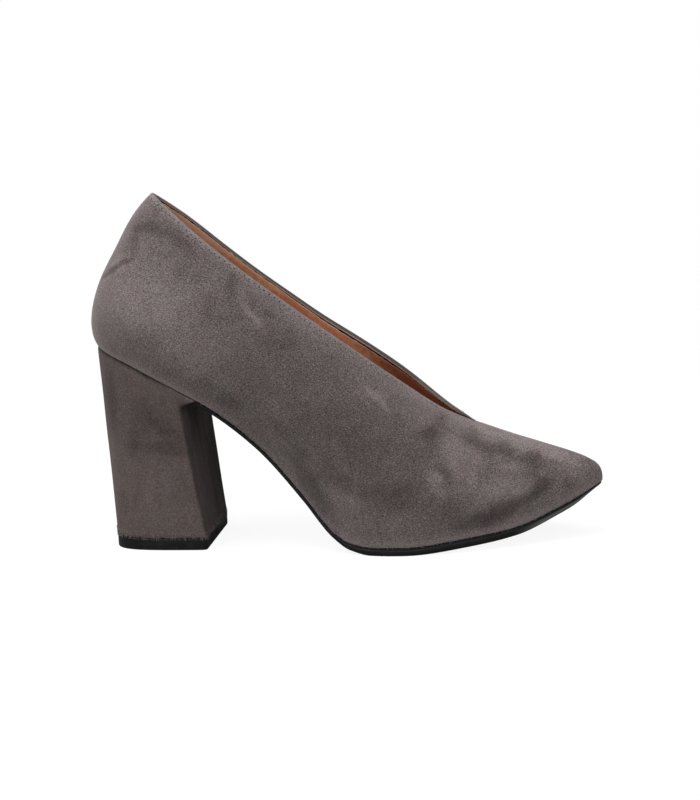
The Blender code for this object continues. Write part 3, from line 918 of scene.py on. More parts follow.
def surface_height(points, below):
    """How far the finished suede stands off the last's plain surface."""
    height = crease_height(points, ON_MEDIAL[None, :])
    height += SURFACE_WAVE * drift(points, WAVE_SIZE, 1)
    under_fold = below - FOLD[None, :] + FOLD_RADIUS
    trough = STITCH_TROUGH * np.exp(-(((under_fold - STITCH_DEPTH) / STITCH_TROUGH_WIDTH) ** 2))
    height -= trough * open_share(PLACES, TROUGH_EASE)[None, :]
    height -= SEAM_TROUGH * BACK_SEAM[None, :]
    hollow = np.exp(-(((points[..., 2] - HOLLOW_HEIGHT) / HOLLOW_REACH) ** 2))
    height -= BACK_HOLLOW * hollow * np.exp(-((FROM_SEAM / HOLLOW_ROUND) ** 2))
    return height * smoothstep((UPPER_BELOW[0] - below) / CREASES_START_ABOVE)


BASE_NORMALS = normals_of(UPPER_BASE)
UPPER_SKIN = UPPER_BASE + BASE_NORMALS * surface_height(UPPER_BASE, UPPER_BELOW)[..., None]
print(len(CREASES), "creases placed")

# %% [markdown]
# The nap is painted the same way, with strokes: a middle, a length, a width, a slope and a strength,
# positive for light. The places are warped by noise first, so that no stroke keeps a clean edge. The medial
# side has strokes of its own, since no two sides of a shoe are handled alike. A long light stroke on each
# side of the vamp's ridge is a painted highlight, and a thin dark one in the counter's wrinkle is painted
# shade. Painted highlights also lighten a rim above the sole and a band under the topline, and the nap is
# darker along the back seam.

# %% Strokes in the nap, some of them painted light
Stroke = namedtuple("Stroke", "along height length width slope strength")
LATERAL_STROKES = [
    Stroke(30, 141, 9, 2.4, -8, -0.42),
    Stroke(45, 135, 8, 3.0, -40, -0.32),
    Stroke(23, 135, 6, 2.0, 80, -0.28),
    Stroke(33, 149, 6, 3.0, 80, -0.22),
    Stroke(17, 138, 8, 2.5, 70, 0.16),
    Stroke(15, 126, 4, 2.5, 30, 0.26),
    # Painted shade in the wrinkle low on the counter.
    Stroke(13, 123.5, 11, 0.7, 31, -0.62),
    Stroke(29, 111, 23, 13.0, -8, 0.34),
    Stroke(24, 113, 5, 4.0, 30, 0.06),
    Stroke(36, 104, 5, 3.0, 20, 0.06),
    Stroke(52, 88, 17, 9.0, -20, 0.18),
    Stroke(44, 124, 4, 3.0, 0, -0.20),
    Stroke(66, 117, 6, 2.8, 85, -0.24),
    Stroke(57, 107, 6, 3.2, 75, -0.18),
    Stroke(65, 103, 6, 2.6, 0, -0.22),
    Stroke(75, 104, 8, 1.3, -47, 0.46),
    Stroke(70, 114, 4, 1.8, -60, 0.20),
    Stroke(75, 109, 2, 1.5, -45, -0.30),
    Stroke(82, 104, 3, 1.7, -45, -0.36),
    Stroke(87, 93, 9, 5.0, -10, -0.24),
    Stroke(90, 91, 3, 2.6, 0, -0.10),
    Stroke(104, 56, 17, 11.0, -20, -0.25),
    Stroke(98, 76, 22, 11.0, -10, -0.18),
    Stroke(64, 75, 6, 4.0, 0, 0.14),
    Stroke(50, 83, 9, 4.5, -20, 0.10),
    Stroke(32, 94, 10, 4.0, 0, -0.10),
    Stroke(65, 67, 6, 3.0, -15, -0.28),
    Stroke(84, 66, 4, 4.0, 60, 0.14),
    Stroke(87, 54, 6, 3.4, -40, -0.20),
    Stroke(96, 45, 5, 2.6, -50, -0.26),
    Stroke(110, 33, 8, 4.4, -25, -0.24),
    Stroke(128, 41, 23, 19.0, -22, -0.42),
    Stroke(134, 26, 12, 6.5, 0, -0.28),
    Stroke(115, 38, 5, 2.2, -35, 0.24),
    Stroke(121, 23, 9, 3.0, 0, 0.16),
    Stroke(127, 67, 8, 1.4, -46, 0.42),
    Stroke(146, 58, 8, 5.0, -25, 0.20),
    Stroke(144, 65, 5, 1.8, -30, 0.20),
    Stroke(150, 51, 6, 3.0, 0, -0.44),
    Stroke(151, 46, 5, 3.0, 80, -0.26),
    Stroke(155, 55, 2, 1.7, 0, -0.34),
    Stroke(165, 36, 14, 6.0, -66, 0.28),
    Stroke(160, 44, 5, 5.0, 0, 0.06),
    Stroke(183, 26, 10, 4.6, 2, 0.36),
    Stroke(184, 34, 4, 1.7, 0, 0.34),
    Stroke(153, 33, 4, 2.6, -25, 0.46),
    Stroke(154, 27, 4, 1.6, -50, 0.36),
    Stroke(199, 29, 3, 2.6, -30, 0.24),
    Stroke(168, 46, 7, 2.2, -45, -0.30),
    Stroke(168, 50, 8, 2.2, -28, 0.34),
    Stroke(98, 31, 20, 4.5, -63, -0.44),
    Stroke(182, 40, 13, 3.0, -18, -0.46),
    Stroke(195, 36, 6, 3.2, -45, -0.30),
    Stroke(194, 31, 5, 2.8, -50, -0.34),
    Stroke(197, 24, 6, 3.2, 45, -0.60),
    Stroke(182, 17, 13, 3.4, 20, -0.56),
    Stroke(174, 14, 7, 4.6, 20, -0.26),
    Stroke(209, 24, 3, 2.6, 0, -0.34),
    Stroke(164, 13, 6, 3.0, 20, -0.34),
    Stroke(158, 34, 6, 2.2, -38, -0.44),
    Stroke(159, 20, 5, 5.0, 0, -0.26),
    Stroke(154, 20, 13, 6.0, 0, -0.12),
    # Painted highlight along the vamp's ridge, which faces the light.
    Stroke(193, 41, 26, 3.2, -20, 0.62),
    Stroke(217, 33, 4, 2.2, -40, -0.34),
]
MEDIAL_STROKES = [
    Stroke(20, 132, 10, 4.0, 70, -0.34),
    Stroke(36, 138, 8, 3.0, -20, -0.30),
    Stroke(34, 114, 16, 9.0, -10, 0.20),
    Stroke(48, 92, 14, 5.0, -35, -0.26),
    Stroke(66, 104, 9, 1.8, -58, 0.40),
    Stroke(60, 106, 8, 2.6, -62, -0.26),
    Stroke(86, 76, 12, 6.0, -45, -0.30),
    Stroke(98, 66, 9, 2.0, -60, 0.34),
    Stroke(124, 38, 22, 15.0, -25, -0.34),
    Stroke(106, 34, 12, 5.0, -30, -0.22),
    Stroke(128, 58, 10, 2.4, -55, 0.36),
    Stroke(142, 36, 9, 4.0, -25, -0.24),
    Stroke(152, 50, 6, 3.0, 10, -0.36),
    Stroke(160, 40, 10, 4.6, -50, 0.34),
    Stroke(172, 24, 10, 3.5, -15, -0.44),
    Stroke(180, 34, 9, 4.0, -25, 0.34),
    Stroke(196, 26, 8, 3.0, -10, -0.42),
    Stroke(186, 17, 8, 2.6, 15, 0.26),
    # Painted highlight along the vamp's ridge, which faces the light.
    Stroke(194, 41, 28, 3.2, -20, 0.62),
    Stroke(208, 28, 6, 3.0, -30, 0.22),
]
STROKE_WARP, WARP_SIZE = 1.6, 9
FINE_WARP, FINE_WARP_SIZE = 0.6, 3.5
STROKE_EDGE = 1.5


def warp(points, seed):
    """How far noise of two sizes pushes each place aside."""
    coarse, fine = drift(points, WARP_SIZE, seed), drift(points, FINE_WARP_SIZE, seed + 1)
    return STROKE_WARP * (coarse + FINE_WARP * fine)


def stroke_sum(points, strokes):
    """The strokes' strengths, added up at each point."""
    along, up = points[..., 0] + warp(points, 3), points[..., 2] + warp(points, 5)
    total = np.zeros(points.shape[:-1])
    for stroke in strokes:
        turn = math.radians(stroke.slope)
        ahead = (along - stroke.along) * math.cos(turn) + (up - stroke.height) * math.sin(turn)
        aside = (up - stroke.height) * math.cos(turn) - (along - stroke.along) * math.sin(turn)
        reach = (ahead / stroke.length) ** 2 + (aside / stroke.width) ** 2
        total += stroke.strength * np.exp(-(reach**STROKE_EDGE))
    return total


SIDES_FROM, SIDES_OVER = -2, 6
# Painted highlights: a rim above the sole, a wider glow over it, a line at the topline's fold and a band
# under it.
RIM_HEIGHT, RIM_LIGHT, RIM_AT_WAIST = 2.8, 0.66, 0.3
WAIST_FROM, WAIST_OVER, WAIST_TO, WAIST_FALL = 54, 12, 116, 8
GLOW_HEIGHT, GLOW_LIGHT = 9.0, 0.12
EDGE_HEIGHT, EDGE_LIGHT = 1.0, 0.34
BAND_AT_BACK, BAND_WIDENS, BAND_LIGHT = 2.8, 3.2, 0.34
BAND_FROM, BAND_OVER, BAND_EASE = 62, 16, 0.8
PATCH_LIGHT, PATCH_SIZE = 0.10, 13
FLECK_LIGHT, FLECK_SIZE = 0.07, 5


def upper_nap(points):
    """The suede's nap at each point, with painted highlights: strokes, rim, band, seam and a little noise."""
    along = points[..., 0]
    medial = smoothstep((points[..., 1] - SIDES_FROM) / SIDES_OVER)
    painted = stroke_sum(points, LATERAL_STROKES) * (1 - medial)
    painted += stroke_sum(points, MEDIAL_STROKES) * medial
    over_sole = UPPER_BELOW[:1] - UPPER_BELOW
    waist = smoothstep((along - WAIST_FROM) / WAIST_OVER) * smoothstep((WAIST_TO - along) / WAIST_FALL)
    # Painted highlight: a rim and a wider glow just above the sole.
    painted += RIM_LIGHT * (1 - (1 - RIM_AT_WAIST) * waist) * np.exp(-((over_sole / RIM_HEIGHT) ** 2))
    painted += GLOW_LIGHT * np.exp(-((over_sole / GLOW_HEIGHT) ** 2))
    # Painted highlight: a band under the topline and a thin line along its fold.
    under_top = UPPER_BELOW - FOLD
    band_height = BAND_AT_BACK + BAND_WIDENS * smoothstep((along - BAND_FROM) / BAND_OVER)
    band = BAND_LIGHT * np.exp(-((under_top / band_height) ** 2))
    band += EDGE_LIGHT * np.exp(-((under_top / EDGE_HEIGHT) ** 2))
    painted += band * open_share(PLACES, BAND_EASE) - SEAM_DARK * BACK_SEAM
    return painted + PATCH_LIGHT * drift(points, PATCH_SIZE, 7) + FLECK_LIGHT * drift(points, FLECK_SIZE, 8)


UPPER_NAP = upper_nap(UPPER_SKIN)
print("nap runs from", UPPER_NAP.min().round(2), "to", UPPER_NAP.max().round(2))

# %% [markdown]
# At the topline the suede is folded over a tape and stuck down inside as a narrow strip. The fold is a half
# circle between the outer face and the strip, worked out from the wall's normal and its upward direction,
# and it shrinks toward the throat, where the two sides meet in a point. The fold's crown is dark, less so
# at the back, and the strip ends in a pale raw cut. Near the throat, where the strip lies in shade, its
# colour is lifted toward the cut's as painted light. Under the last the sheet ends in the lasting margin,
# hidden by the sole.

# %% Fold, strip and margin
STRIP_AT_BACK, STRIP_AT_THROAT, STRIP_IN_THROAT = 0.05, 0.75, 0.35
STRIP_FROM, STRIP_OVER = 35, 80
STRIP_THICKNESS = 0.6
STRIP_WAVER, STRIP_NICKS = 0.12, 0.08
STRIP_LEAST, STRIP_EASE = 0.1, 0.3
RAW_CUT = ((0.12, 0.25), (0.12, 0.75))
# Near the throat the strip's colour is lifted toward the cut's, as painted light.
RAW_IN_THROAT, RAW_ON_STRIP = 0.5, 0.75
FOLD_STEPS = 9
STRIP_STEPS = 6
MARGIN, MARGIN_LEAST = 7.0, 1.5
MARGIN_SHARES = (1, 0.6, 0.25, 0.08)
CROWN_AT_BACK = 70.0

top_normal = normals_of(UPPER_SKIN)[-1]
top_rise = UPPER_SKIN[-1] - UPPER_SKIN[-3]
top_rise /= np.linalg.norm(top_rise, axis=1, keepdims=True)
strip_wave = STRIP_WAVER * drift(UPPER_SKIN[-1], 7, 11) + STRIP_NICKS * drift(UPPER_SKIN[-1], 2, 12)
strip_gain = smoothstep((UPPER_SKIN[-1, :, 0] - STRIP_FROM) / STRIP_OVER)
strip_depth = STRIP_AT_BACK + (STRIP_AT_THROAT - STRIP_AT_BACK) * strip_gain
strip_depth += STRIP_IN_THROAT * NEAR_THROAT
STRIP_END = np.maximum((strip_depth + strip_wave) * open_share(PLACES, STRIP_EASE), STRIP_LEAST)


def keep_to_side(points, clearance=0.03):
    """Holds the two sides of the throat apart at the ridge."""
    medial = np.maximum(points[..., 1], THROAT[1] + clearance)
    lateral = np.minimum(points[..., 1], THROAT[1] - clearance)
    return np.stack([points[..., 0], np.where(ON_MEDIAL, medial, lateral), points[..., 2]], -1)


def fold_rows():
    """The half circle of the fold, the strip inside and its cut end."""
    centre = UPPER_SKIN[-1] - FOLD[:, None] * top_normal
    rows = []
    for angle in np.linspace(0, math.pi, FOLD_STEPS)[1:]:
        rows.append(centre + FOLD[:, None] * (math.cos(angle) * top_normal + math.sin(angle) * top_rise))
    inside = rows[-1]
    for share in np.linspace(0, 1, STRIP_STEPS)[1:]:
        rows.append(inside - (share * STRIP_END)[:, None] * top_rise)
    for step, sink in RAW_CUT:
        rows.append(inside - (STRIP_END + step)[:, None] * top_rise + sink * STRIP_THICKNESS * top_normal)
    return keep_to_side(np.array(rows))


def margin_rows():
    """The lasting margin under the last, narrower where the toe leaves less room."""
    half_width = np.abs(feather_plan(PLACES)[:, 1] - feather_plan(LOOP_ROWS - PLACES)[:, 1]) / 2
    margin = np.minimum(MARGIN, MARGIN_LEAST + half_width / 2)
    return np.array([feather(PLACES, -margin * share) for share in MARGIN_SHARES])


def make_upper():
    lower = np.concatenate([margin_rows(), UPPER_SKIN])
    fold = fold_rows()
    lower_ids = numbered(lower.shape)
    shared = ~IS_OPEN & ON_MEDIAL
    lower_ids[-1, shared] = lower_ids[-1, MIRROR[shared]]
    fold_ids = np.vstack([lower_ids[-1], numbered(fold.shape, lower.shape[0] * lower.shape[1])])
    faces = np.vstack([quads(lower_ids, closed=True), quads(fold_ids[:, OPEN_BAND])])
    under = np.repeat(UPPER_NAP[:1], len(lower) - len(UPPER_SKIN), 0)
    nap = np.vstack([under, UPPER_NAP, np.repeat(UPPER_NAP[-1:], len(fold), 0)])
    crown = len(lower) + FOLD_STEPS // 2 - 1
    turned = np.zeros(nap.shape)
    turned[crown:] = 1.0
    turned[crown - 1] = 0.5
    turned *= smoothstep(FROM_SEAM / CROWN_AT_BACK)
    raw = np.zeros(nap.shape)
    # Painted light: near the throat the shaded strip takes on the pale cut colour.
    raw[-4 - STRIP_STEPS : -3] = RAW_IN_THROAT * NEAR_THROAT
    raw[-2 - STRIP_STEPS : -3] = RAW_ON_STRIP
    raw[-3:] = 1.0
    points = np.concatenate([lower, fold]).reshape(-1, 3)
    return add_piece(
        "suede_upper", points, faces, UPPER_SUEDE, "upper", "grey_suede", nap=nap, turned=turned, raw=raw
    )


make_upper()

# %% [markdown]
# ## Tape and lining
# Inside, a dark tape stiffens the topline, and the tan leather lining starts just below the turned-in
# strip. Its edge was trimmed by hand, so it wavers, and a little of the tape shows above it as a dark line;
# the tape is nearly black, as painted shadow in that gap. Both follow the wall's arcs at a set distance
# inside the suede. The lining grows darker and redder toward the vamp, with painted shade a few millimetres
# under its edge, and the edge itself is paler, over a wider band at the back.

# %% Tape and lining
TAPE_FROM, TAPE_TO, TAPE_INSIDE = 1.2, 6.0, 1.2
LINING_GAP, LINING_GAP_AHEAD = 0.75, 0.5
THROAT_GAP, THROAT_GAP_FROM, THROAT_GAP_OVER = 1.8, 9.5, 0.5
LINING_INSIDE = 1.75
LINING_THICKNESS = 0.65
LINING_WAVER, LINING_NICKS = 0.3, 0.4
LINING_GAP_FROM, LINING_GAP_OVER = 50, 70
LINING_ROWS, LINING_CROWDING = 54, 1.15
LINING_FOOT = 1.5
RIM_STEP = 0.1
LINING_DARK_FROM, LINING_DARK_OVER, LINING_DARK_SLOPE = 127.0, 28.0, 0.3
LINING_SHADE, LINING_SHADE_DEPTH = 0.25, 4.0
# The lining is paler along its top edge, over a wider band at the back.
RUBBED, RUBBED_DEPTH, RUBBED_DEPTH_AT_BACK = 0.9, 1.6, 3.4
RUBBED_AHEAD = 0.5
RUBBED_TO, RUBBED_OVER = 78.0, 30.0
TAPE_ROWS, TAPE_DROP = 5, 0.05
TAPE_EASE, LINING_EASE = 0.5, 0.12


def inside_wall(distances, depth):
    """Points under the top edge at these distances, this deep inside the upper's outer face."""
    grid = read_from_top(WALL_ARCS, distances.T)
    return grid - normals_of(grid) * depth


def make_tape():
    share = np.linspace(1, 0, TAPE_ROWS)[:, None]
    below = TAPE_FROM + share * (TAPE_TO - TAPE_FROM)
    distances = below * open_share(PLACES, TAPE_EASE)[None, :] + TAPE_DROP
    grid = keep_to_side(inside_wall(distances, TAPE_INSIDE))
    ids = numbered(grid.shape)
    return add_piece("topline_tape", grid.reshape(-1, 3), quads(ids[:, OPEN_BAND][:, ::-1]), TAPE_CLOTH)


def make_lining():
    edge = UPPER_SKIN[-1]
    wander = LINING_WAVER * drift(edge, 6, 21) + LINING_NICKS * drift(edge, 1.5, 22)
    gap = LINING_GAP + LINING_GAP_AHEAD * smoothstep((edge[:, 0] - LINING_GAP_FROM) / LINING_GAP_OVER)
    gap += THROAT_GAP * smoothstep((ROWS_ROUND - THROAT_GAP_FROM) / THROAT_GAP_OVER)
    start = (FOLD + STRIP_END + gap + wander) * open_share(PLACES, LINING_EASE)
    share = np.linspace(1, 0, LINING_ROWS)[:, None] ** LINING_CROWDING
    foot = LINING_FOOT * np.minimum(1, WALL_LENGTHS / SHORT_WALL)
    distances = start + share * (WALL_LENGTHS - foot - start)
    inner = inside_wall(distances, LINING_INSIDE)
    rim_distances = np.repeat(start[None, :], 2, 0) + np.array([[RIM_STEP], [0]])
    rim = inside_wall(rim_distances, LINING_INSIDE - LINING_THICKNESS)
    grid = np.concatenate([inner, rim[1:]])
    ids = numbered(grid.shape)
    closed = ~IS_OPEN & ON_MEDIAL
    ids[-2:, closed] = ids[-2:, MIRROR[closed]]
    faces = quads(ids, closed=True)[:, ::-1]
    ahead = grid[..., 0] + LINING_DARK_SLOPE * grid[..., 2] - LINING_DARK_FROM
    vamp = smoothstep(ahead / LINING_DARK_OVER)
    depth = np.concatenate([distances, start[None, :]]) - start
    # Painted shade: the lining darkens a few millimetres below its top edge, in the upper's shade.
    vamp = np.maximum(vamp, LINING_SHADE * smoothstep(depth / LINING_SHADE_DEPTH))
    at_back = smoothstep((RUBBED_TO - grid[..., 0]) / RUBBED_OVER)
    rubbed_depth = RUBBED_DEPTH + RUBBED_DEPTH_AT_BACK * at_back
    rubbed = RUBBED * smoothstep(1 - depth / rubbed_depth) * (RUBBED_AHEAD + (1 - RUBBED_AHEAD) * at_back)
    points = grid.reshape(-1, 3)
    return add_piece("lining", points, faces, LINING_LEATHER, slot="tan_leather", vamp=vamp, rubbed=rubbed)


make_tape()
make_lining()

# %% [markdown]
# ## Stitching
# One row of stitches runs two millimetres under the topline. Each stitch is a short rounded sausage of
# thread that dives into a needle hole at both ends. The holes look like dark dots from a step away, so they
# are modelled too, as small dark lenses let into the suede, whose dark colour is painted shade for the
# hollow of each hole. They are smaller toward the throat. All the stitches are one joined mesh, made from
# arrays.

# %% Stitches
STITCH_PITCH = 2.7
STITCH_GAP = 0.42
THREAD_RADIUS = 0.25
THREAD_SIDES, THREAD_RINGS = 8, 9
THREAD_PROUD, THREAD_DIVE, THREAD_FLAT = 0.07, 0.34, 0.8
HOLE_RADIUS, HOLE_LEAST = 0.33, 0.7
HOLE_SEED = 3
HOLE_LEVELS = ((-0.5, 0), (-0.1, 0.7), (0.06, 1), (0.08, 0.6), (0.05, 0))
HOLES_FADE_FROM, HOLES_FADE_OVER, HOLES_LEFT = 95, 45, 0.45
STITCH_START = 5.0


def stitch_route():
    """The line of the stitches on the suede, its normals, and the distance along it."""
    columns = OPEN_BAND
    wanted = STITCH_DEPTH - FOLD_RADIUS + FOLD[columns]
    below, skin = UPPER_BELOW[:, columns], UPPER_SKIN[:, columns]
    normal = normals_of(UPPER_SKIN)[:, columns]
    line, facing = [], []
    for j, depth in enumerate(wanted):
        order = np.argsort(below[:, j])
        line.append([np.interp(depth, below[order, j], skin[order, j, axis]) for axis in range(3)])
        facing.append([np.interp(depth, below[order, j], normal[order, j, axis]) for axis in range(3)])
    line, facing = np.array(line), np.array(facing)
    gone = np.concatenate([[0], np.cumsum(np.linalg.norm(np.diff(line, axis=0), axis=1))])
    return line, facing, gone


ROUTE, ROUTE_NORMALS, ROUTE_GONE = stitch_route()


def read_route(table, distance):
    return np.stack([np.interp(distance, ROUTE_GONE, axis) for axis in table.T], -1)


def on_route(distance, step=0.4):
    """Point, normal and forward direction at distances along the stitching."""
    point, normal = read_route(ROUTE, distance), read_route(ROUTE_NORMALS, distance)
    forward = read_route(ROUTE, distance + step) - read_route(ROUTE, distance - step)
    forward /= np.linalg.norm(forward, axis=-1, keepdims=True)
    normal -= forward * (normal * forward).sum(-1, keepdims=True)
    normal /= np.linalg.norm(normal, axis=-1, keepdims=True)
    return point, normal, forward


def stack_rings(rings):
    """Faces of many closed forms at once. rings has form, ring, side and axis, and end rings are points."""
    forms, count, sides = rings.shape[:3]
    ids = np.arange(forms * count * sides).reshape(forms, count, sides)
    ids[:, 0] = ids[:, 0, :1]
    ids[:, -1] = ids[:, -1, :1]
    return np.vstack([quads(form, closed=True) for form in ids])


HOLES = np.arange(STITCH_START, ROUTE_GONE[-1] - STITCH_START, STITCH_PITCH)


def make_stitches():
    share = np.linspace(-1, 1, THREAD_RINGS)
    middle = (HOLES[:-1] + HOLES[1:]) / 2
    reach = STITCH_PITCH / 2 - STITCH_GAP / 2
    point, normal, forward = on_route(middle[:, None] + reach * share)
    aside = np.cross(forward, normal)
    lift = (THREAD_PROUD - THREAD_DIVE * share**4)[None, :, None]
    radius = (THREAD_RADIUS * np.sqrt(np.maximum(0, 1 - share**6)))[None, :, None, None]
    turn = np.linspace(0, 2 * math.pi, THREAD_SIDES, endpoint=False)[None, None, :, None]
    ring = np.sin(turn) * normal[:, :, None] * THREAD_FLAT + np.cos(turn) * aside[:, :, None]
    rings = (point + lift * normal)[:, :, None] + radius * ring
    return add_piece("topline_stitches", rings.reshape(-1, 3), stack_rings(rings), THREAD)


def make_needle_holes():
    point, normal, forward = on_route(HOLES)
    aside = np.cross(forward, normal)
    turn = np.linspace(0, 2 * math.pi, THREAD_SIDES, endpoint=False)[None, :, None]
    faded = 1 - (1 - HOLES_LEFT) * smoothstep((point[:, 0] - HOLES_FADE_FROM) / HOLES_FADE_OVER)
    draw = np.random.default_rng(HOLE_SEED)
    radius = HOLE_RADIUS * draw.uniform(HOLE_LEAST, 1.0, (len(HOLES), 1, 1))
    radius *= faded[:, None, None]
    ring = radius * (np.cos(turn) * forward[:, None] + np.sin(turn) * aside[:, None])
    rings = [point[:, None] + rise * normal[:, None] + size * ring for rise, size in HOLE_LEVELS]
    rings = np.stack(rings, 1)
    return add_piece("needle_holes", rings.reshape(-1, 3), stack_rings(rings)[:, ::-1], NEEDLE_HOLE)


make_stitches()
make_needle_holes()
print(len(HOLES) - 1, "stitches on", ROUTE_GONE[-1].round(), "mm of topline")

# %% [markdown]
# ## Sock
# The sock is the sheet of leather that the foot stands on. It covers the insole and curls up a little
# where it meets the lining. Rungs run across the shoe between matching places on the two sides, and their
# ends are read from the lining, so no slit is left round the edge.

# %% Sock
SOCK_EDGE, SOCK_EDGE_SHARE = 7.0, 0.4
SOCK_LIFT = 5.1
SOCK_THICKNESS = 1.4
SOCK_OVERLAP = 0.15
SOCK_WAVE, SOCK_CURL = 0.12, 7
SOCK_FIRST, SOCK_SHORT = 0.02, 0.6
SOCK_RUNGS, SOCK_ACROSS = 150, 32


def between(lateral, medial, count):
    share = np.linspace(0, 1, count + 1)[None, :, None]
    return lateral[:, None] + share * (medial - lateral)[:, None]


def rim_of(ids):
    """The outline of a grid of rungs: up the lateral side, across the last rung and back."""
    return np.concatenate([ids[:, 0], ids[-1, 1:-1], ids[::-1, -1], ids[0, -2:0:-1]])


def layered(name, layers, finish, **options):
    """A closed solid from matching grids of rungs, floor first and roof last, joined round their rims."""
    size = layers[0].shape[0] * layers[0].shape[1]
    grids = [numbered(layer.shape, size * number) for number, layer in enumerate(layers)]
    sides = quads(np.stack([rim_of(grid) for grid in grids]), closed=True)
    faces = np.vstack([quads(grids[0]), quads(grids[-1][:, ::-1]), sides])
    return add_piece(name, np.concatenate(layers).reshape(-1, 3), faces, finish, **options)


def sock_ends(s):
    """Places on the lining where the sock's edge lies."""
    arcs = wall(s, np.linspace(0, 1, 200))
    lengths = arc_lengths(arcs)
    below = lengths - np.minimum(SOCK_EDGE, SOCK_EDGE_SHARE * lengths)
    grid = read_from_top(arcs, np.stack([below - 0.5, below, below + 0.5], 1))
    normal = normals_of(grid[::-1], closed=False)[1]
    return grid[1] - normal * (LINING_INSIDE - SOCK_OVERLAP)


def make_sock():
    rows = np.linspace(SOCK_FIRST, TOE_ROW - SOCK_SHORT, SOCK_RUNGS)
    lateral, medial = sock_ends(rows), sock_ends(LOOP_ROWS - rows[::-1])[::-1]
    top = between(lateral, medial, SOCK_ACROSS)
    flat = bottom_height(top[..., 0]) + square_to_bottom(top[..., 0], SOCK_LIFT)
    curl = np.abs(np.linspace(-1, 1, SOCK_ACROSS + 1)) ** SOCK_CURL
    curled = flat + (top[..., 2] - flat) * curl[None, :]
    top[..., 2] = curled + SOCK_WAVE * drift(top, 18, 31)
    under = top - np.array([0, 0, SOCK_THICKNESS])
    return layered("sock", [under, top], SOCK_LEATHER, replaces="insole", slot="tan_leather")


make_sock()

# %% [markdown]
# ## Outsole
# A thin black rubber outsole runs from the breast of the heel to the toe. Its side is not flat: a narrow
# groove under the upper stays black, the middle swells and catches a line of light, and the lower edge
# turns under. So the side is a short table of depth and inset, swept along the feather edge. The sole thins
# at the toe, and its low edge there is pale grey, partly scuffing and partly a painted reflection of the
# white floor. On the medial side its end runs on under the heel's rolled lip.

# %% Outsole
TOE_INSET = 0.35
TOE_INSET_ROWS = 2
TOE_WEAR_FROM, TOE_WEAR_OVER, TOE_WEAR_UNDER = 184, 16, 0.4
TOE_WEAR_DEPTH = 0.3
TOE_TAPER, TOE_THINNING = 14.0, 0.62
SOLE_LAP, LAP_INSET, LAP_OVER = 3.4, 0.6, 1.6
Edge = namedtuple("Edge", "depth inset")
SOLE_EDGE = [
    Edge(1.00, 1.60),
    Edge(0.985, 0.95),
    Edge(0.93, 0.55),
    Edge(0.84, 0.28),
    Edge(0.66, 0.10),
    Edge(0.46, 0.06),
    Edge(0.32, 0.16),
    Edge(0.24, 0.40),
    Edge(0.18, 0.75),
    Edge(0.10, 0.85),
    Edge(0.00, 0.85),
]
SOLE_RUNGS, SOLE_ACROSS = 190, 26


def row_at(along):
    """The row of the lateral feather edge at a place along the length."""
    rows = np.linspace(0, TOE_ROW, 400)
    return float(np.interp(along, feather_plan(rows)[:, 0], rows))


def make_outsole():
    rows = np.linspace(row_at(BREAST_ALONG), TOE_ROW, SOLE_RUNGS)
    medial_rows = LOOP_ROWS - np.linspace(row_at(BREAST_ALONG - SOLE_LAP), TOE_ROW, SOLE_RUNGS)
    tucked = TOE_INSET * np.maximum(0, (rows - TOE_ROW + TOE_INSET_ROWS) / TOE_INSET_ROWS) ** 2
    lapped = LAP_INSET * smoothstep((BREAST_ALONG - feather_plan(medial_rows)[:, 0]) / LAP_OVER)
    layers, wear = [], []
    for edge in SOLE_EDGE:
        lateral = feather(rows, -edge.inset - tucked)
        medial = feather(medial_rows, -edge.inset - tucked - lapped)
        layer = between(lateral, medial, SOLE_ACROSS)
        along = layer[..., 0]
        thinner = 1 - TOE_THINNING * smoothstep((along - LENGTH + TOE_TAPER) / TOE_TAPER)
        layer[..., 2] = bottom_height(along) - GAP - edge.depth * thinner * sole_thickness(along)
        layers.append(layer)
        # Pale grey low at the toe: scuffing, and a painted reflection of the floor.
        low = smoothstep((edge.depth - TOE_WEAR_DEPTH) / TOE_WEAR_DEPTH)
        low *= TOE_WEAR_UNDER if edge.depth == 1 else 1
        wear.append(low * smoothstep((along - TOE_WEAR_FROM) / TOE_WEAR_OVER))
    wear = np.concatenate(wear)
    return layered(
        "rubber_outsole", layers, SOLE_RUBBER, replaces="outsole", slot="black_rubber", wear=wear
    )


make_outsole()

# %% [markdown]
# ## Heel
# The block heel is wood or plastic wrapped in suede. The cover is pulled round from the back and closed by
# a butt seam in the breast. The breast's corners are rounded by the cover, and its top sweeps forward into
# the waist. Every level is an outline between the heel tip and the seat, so the cover is again one grid,
# with its lips rolled in at the top and bottom.

# %% Heel cover
HEEL_TIP_POWER = 4.4
HEEL_COVE = {LATERAL: 8.0, MEDIAL: 5.75}
HEEL_COVE_FROM, HEEL_COVE_SWEEP, HEEL_COVE_ROUND = 0.955, 1.8, 6
TIP_FORWARD = 0.7
TOP_PIECE_HEIGHT = 5.2
CORNER_ROUND = {LATERAL: 2.4, MEDIAL: 1.6}
SIDE_COLUMNS, CORNER_COLUMNS = 74, 8
BACK_CROWDING, BREAST_CROWDING = 2.2, 1.5
BREAST_SEAM = 0.66
SEAM_GROOVE, SEAM_GROOVE_WIDTH = 0.12, 0.3
SEAM_SWELL, SEAM_SWELL_WIDTH = 0.04, 1.4
SEAM_STEPS = np.array([-0.03, -0.016, -0.008, -0.003, 0, 0.003, 0.008, 0.016, 0.03])
BREAST_SHARES = np.union1d(np.linspace(0, 1, 34), BREAST_SEAM + SEAM_STEPS)
FIRST_BREAST = SIDE_COLUMNS + CORNER_COLUMNS
HEEL_SPAN, HEEL_ROWS, HEEL_WAVE = 70.0, 60, 0.12
BETWEEN_LIPS = (0.025, 0.945)
LOW_LIP = ((0.0, 0.85), (0.12, 0.42), (0.4, 0.13), (0.9, 0.0))
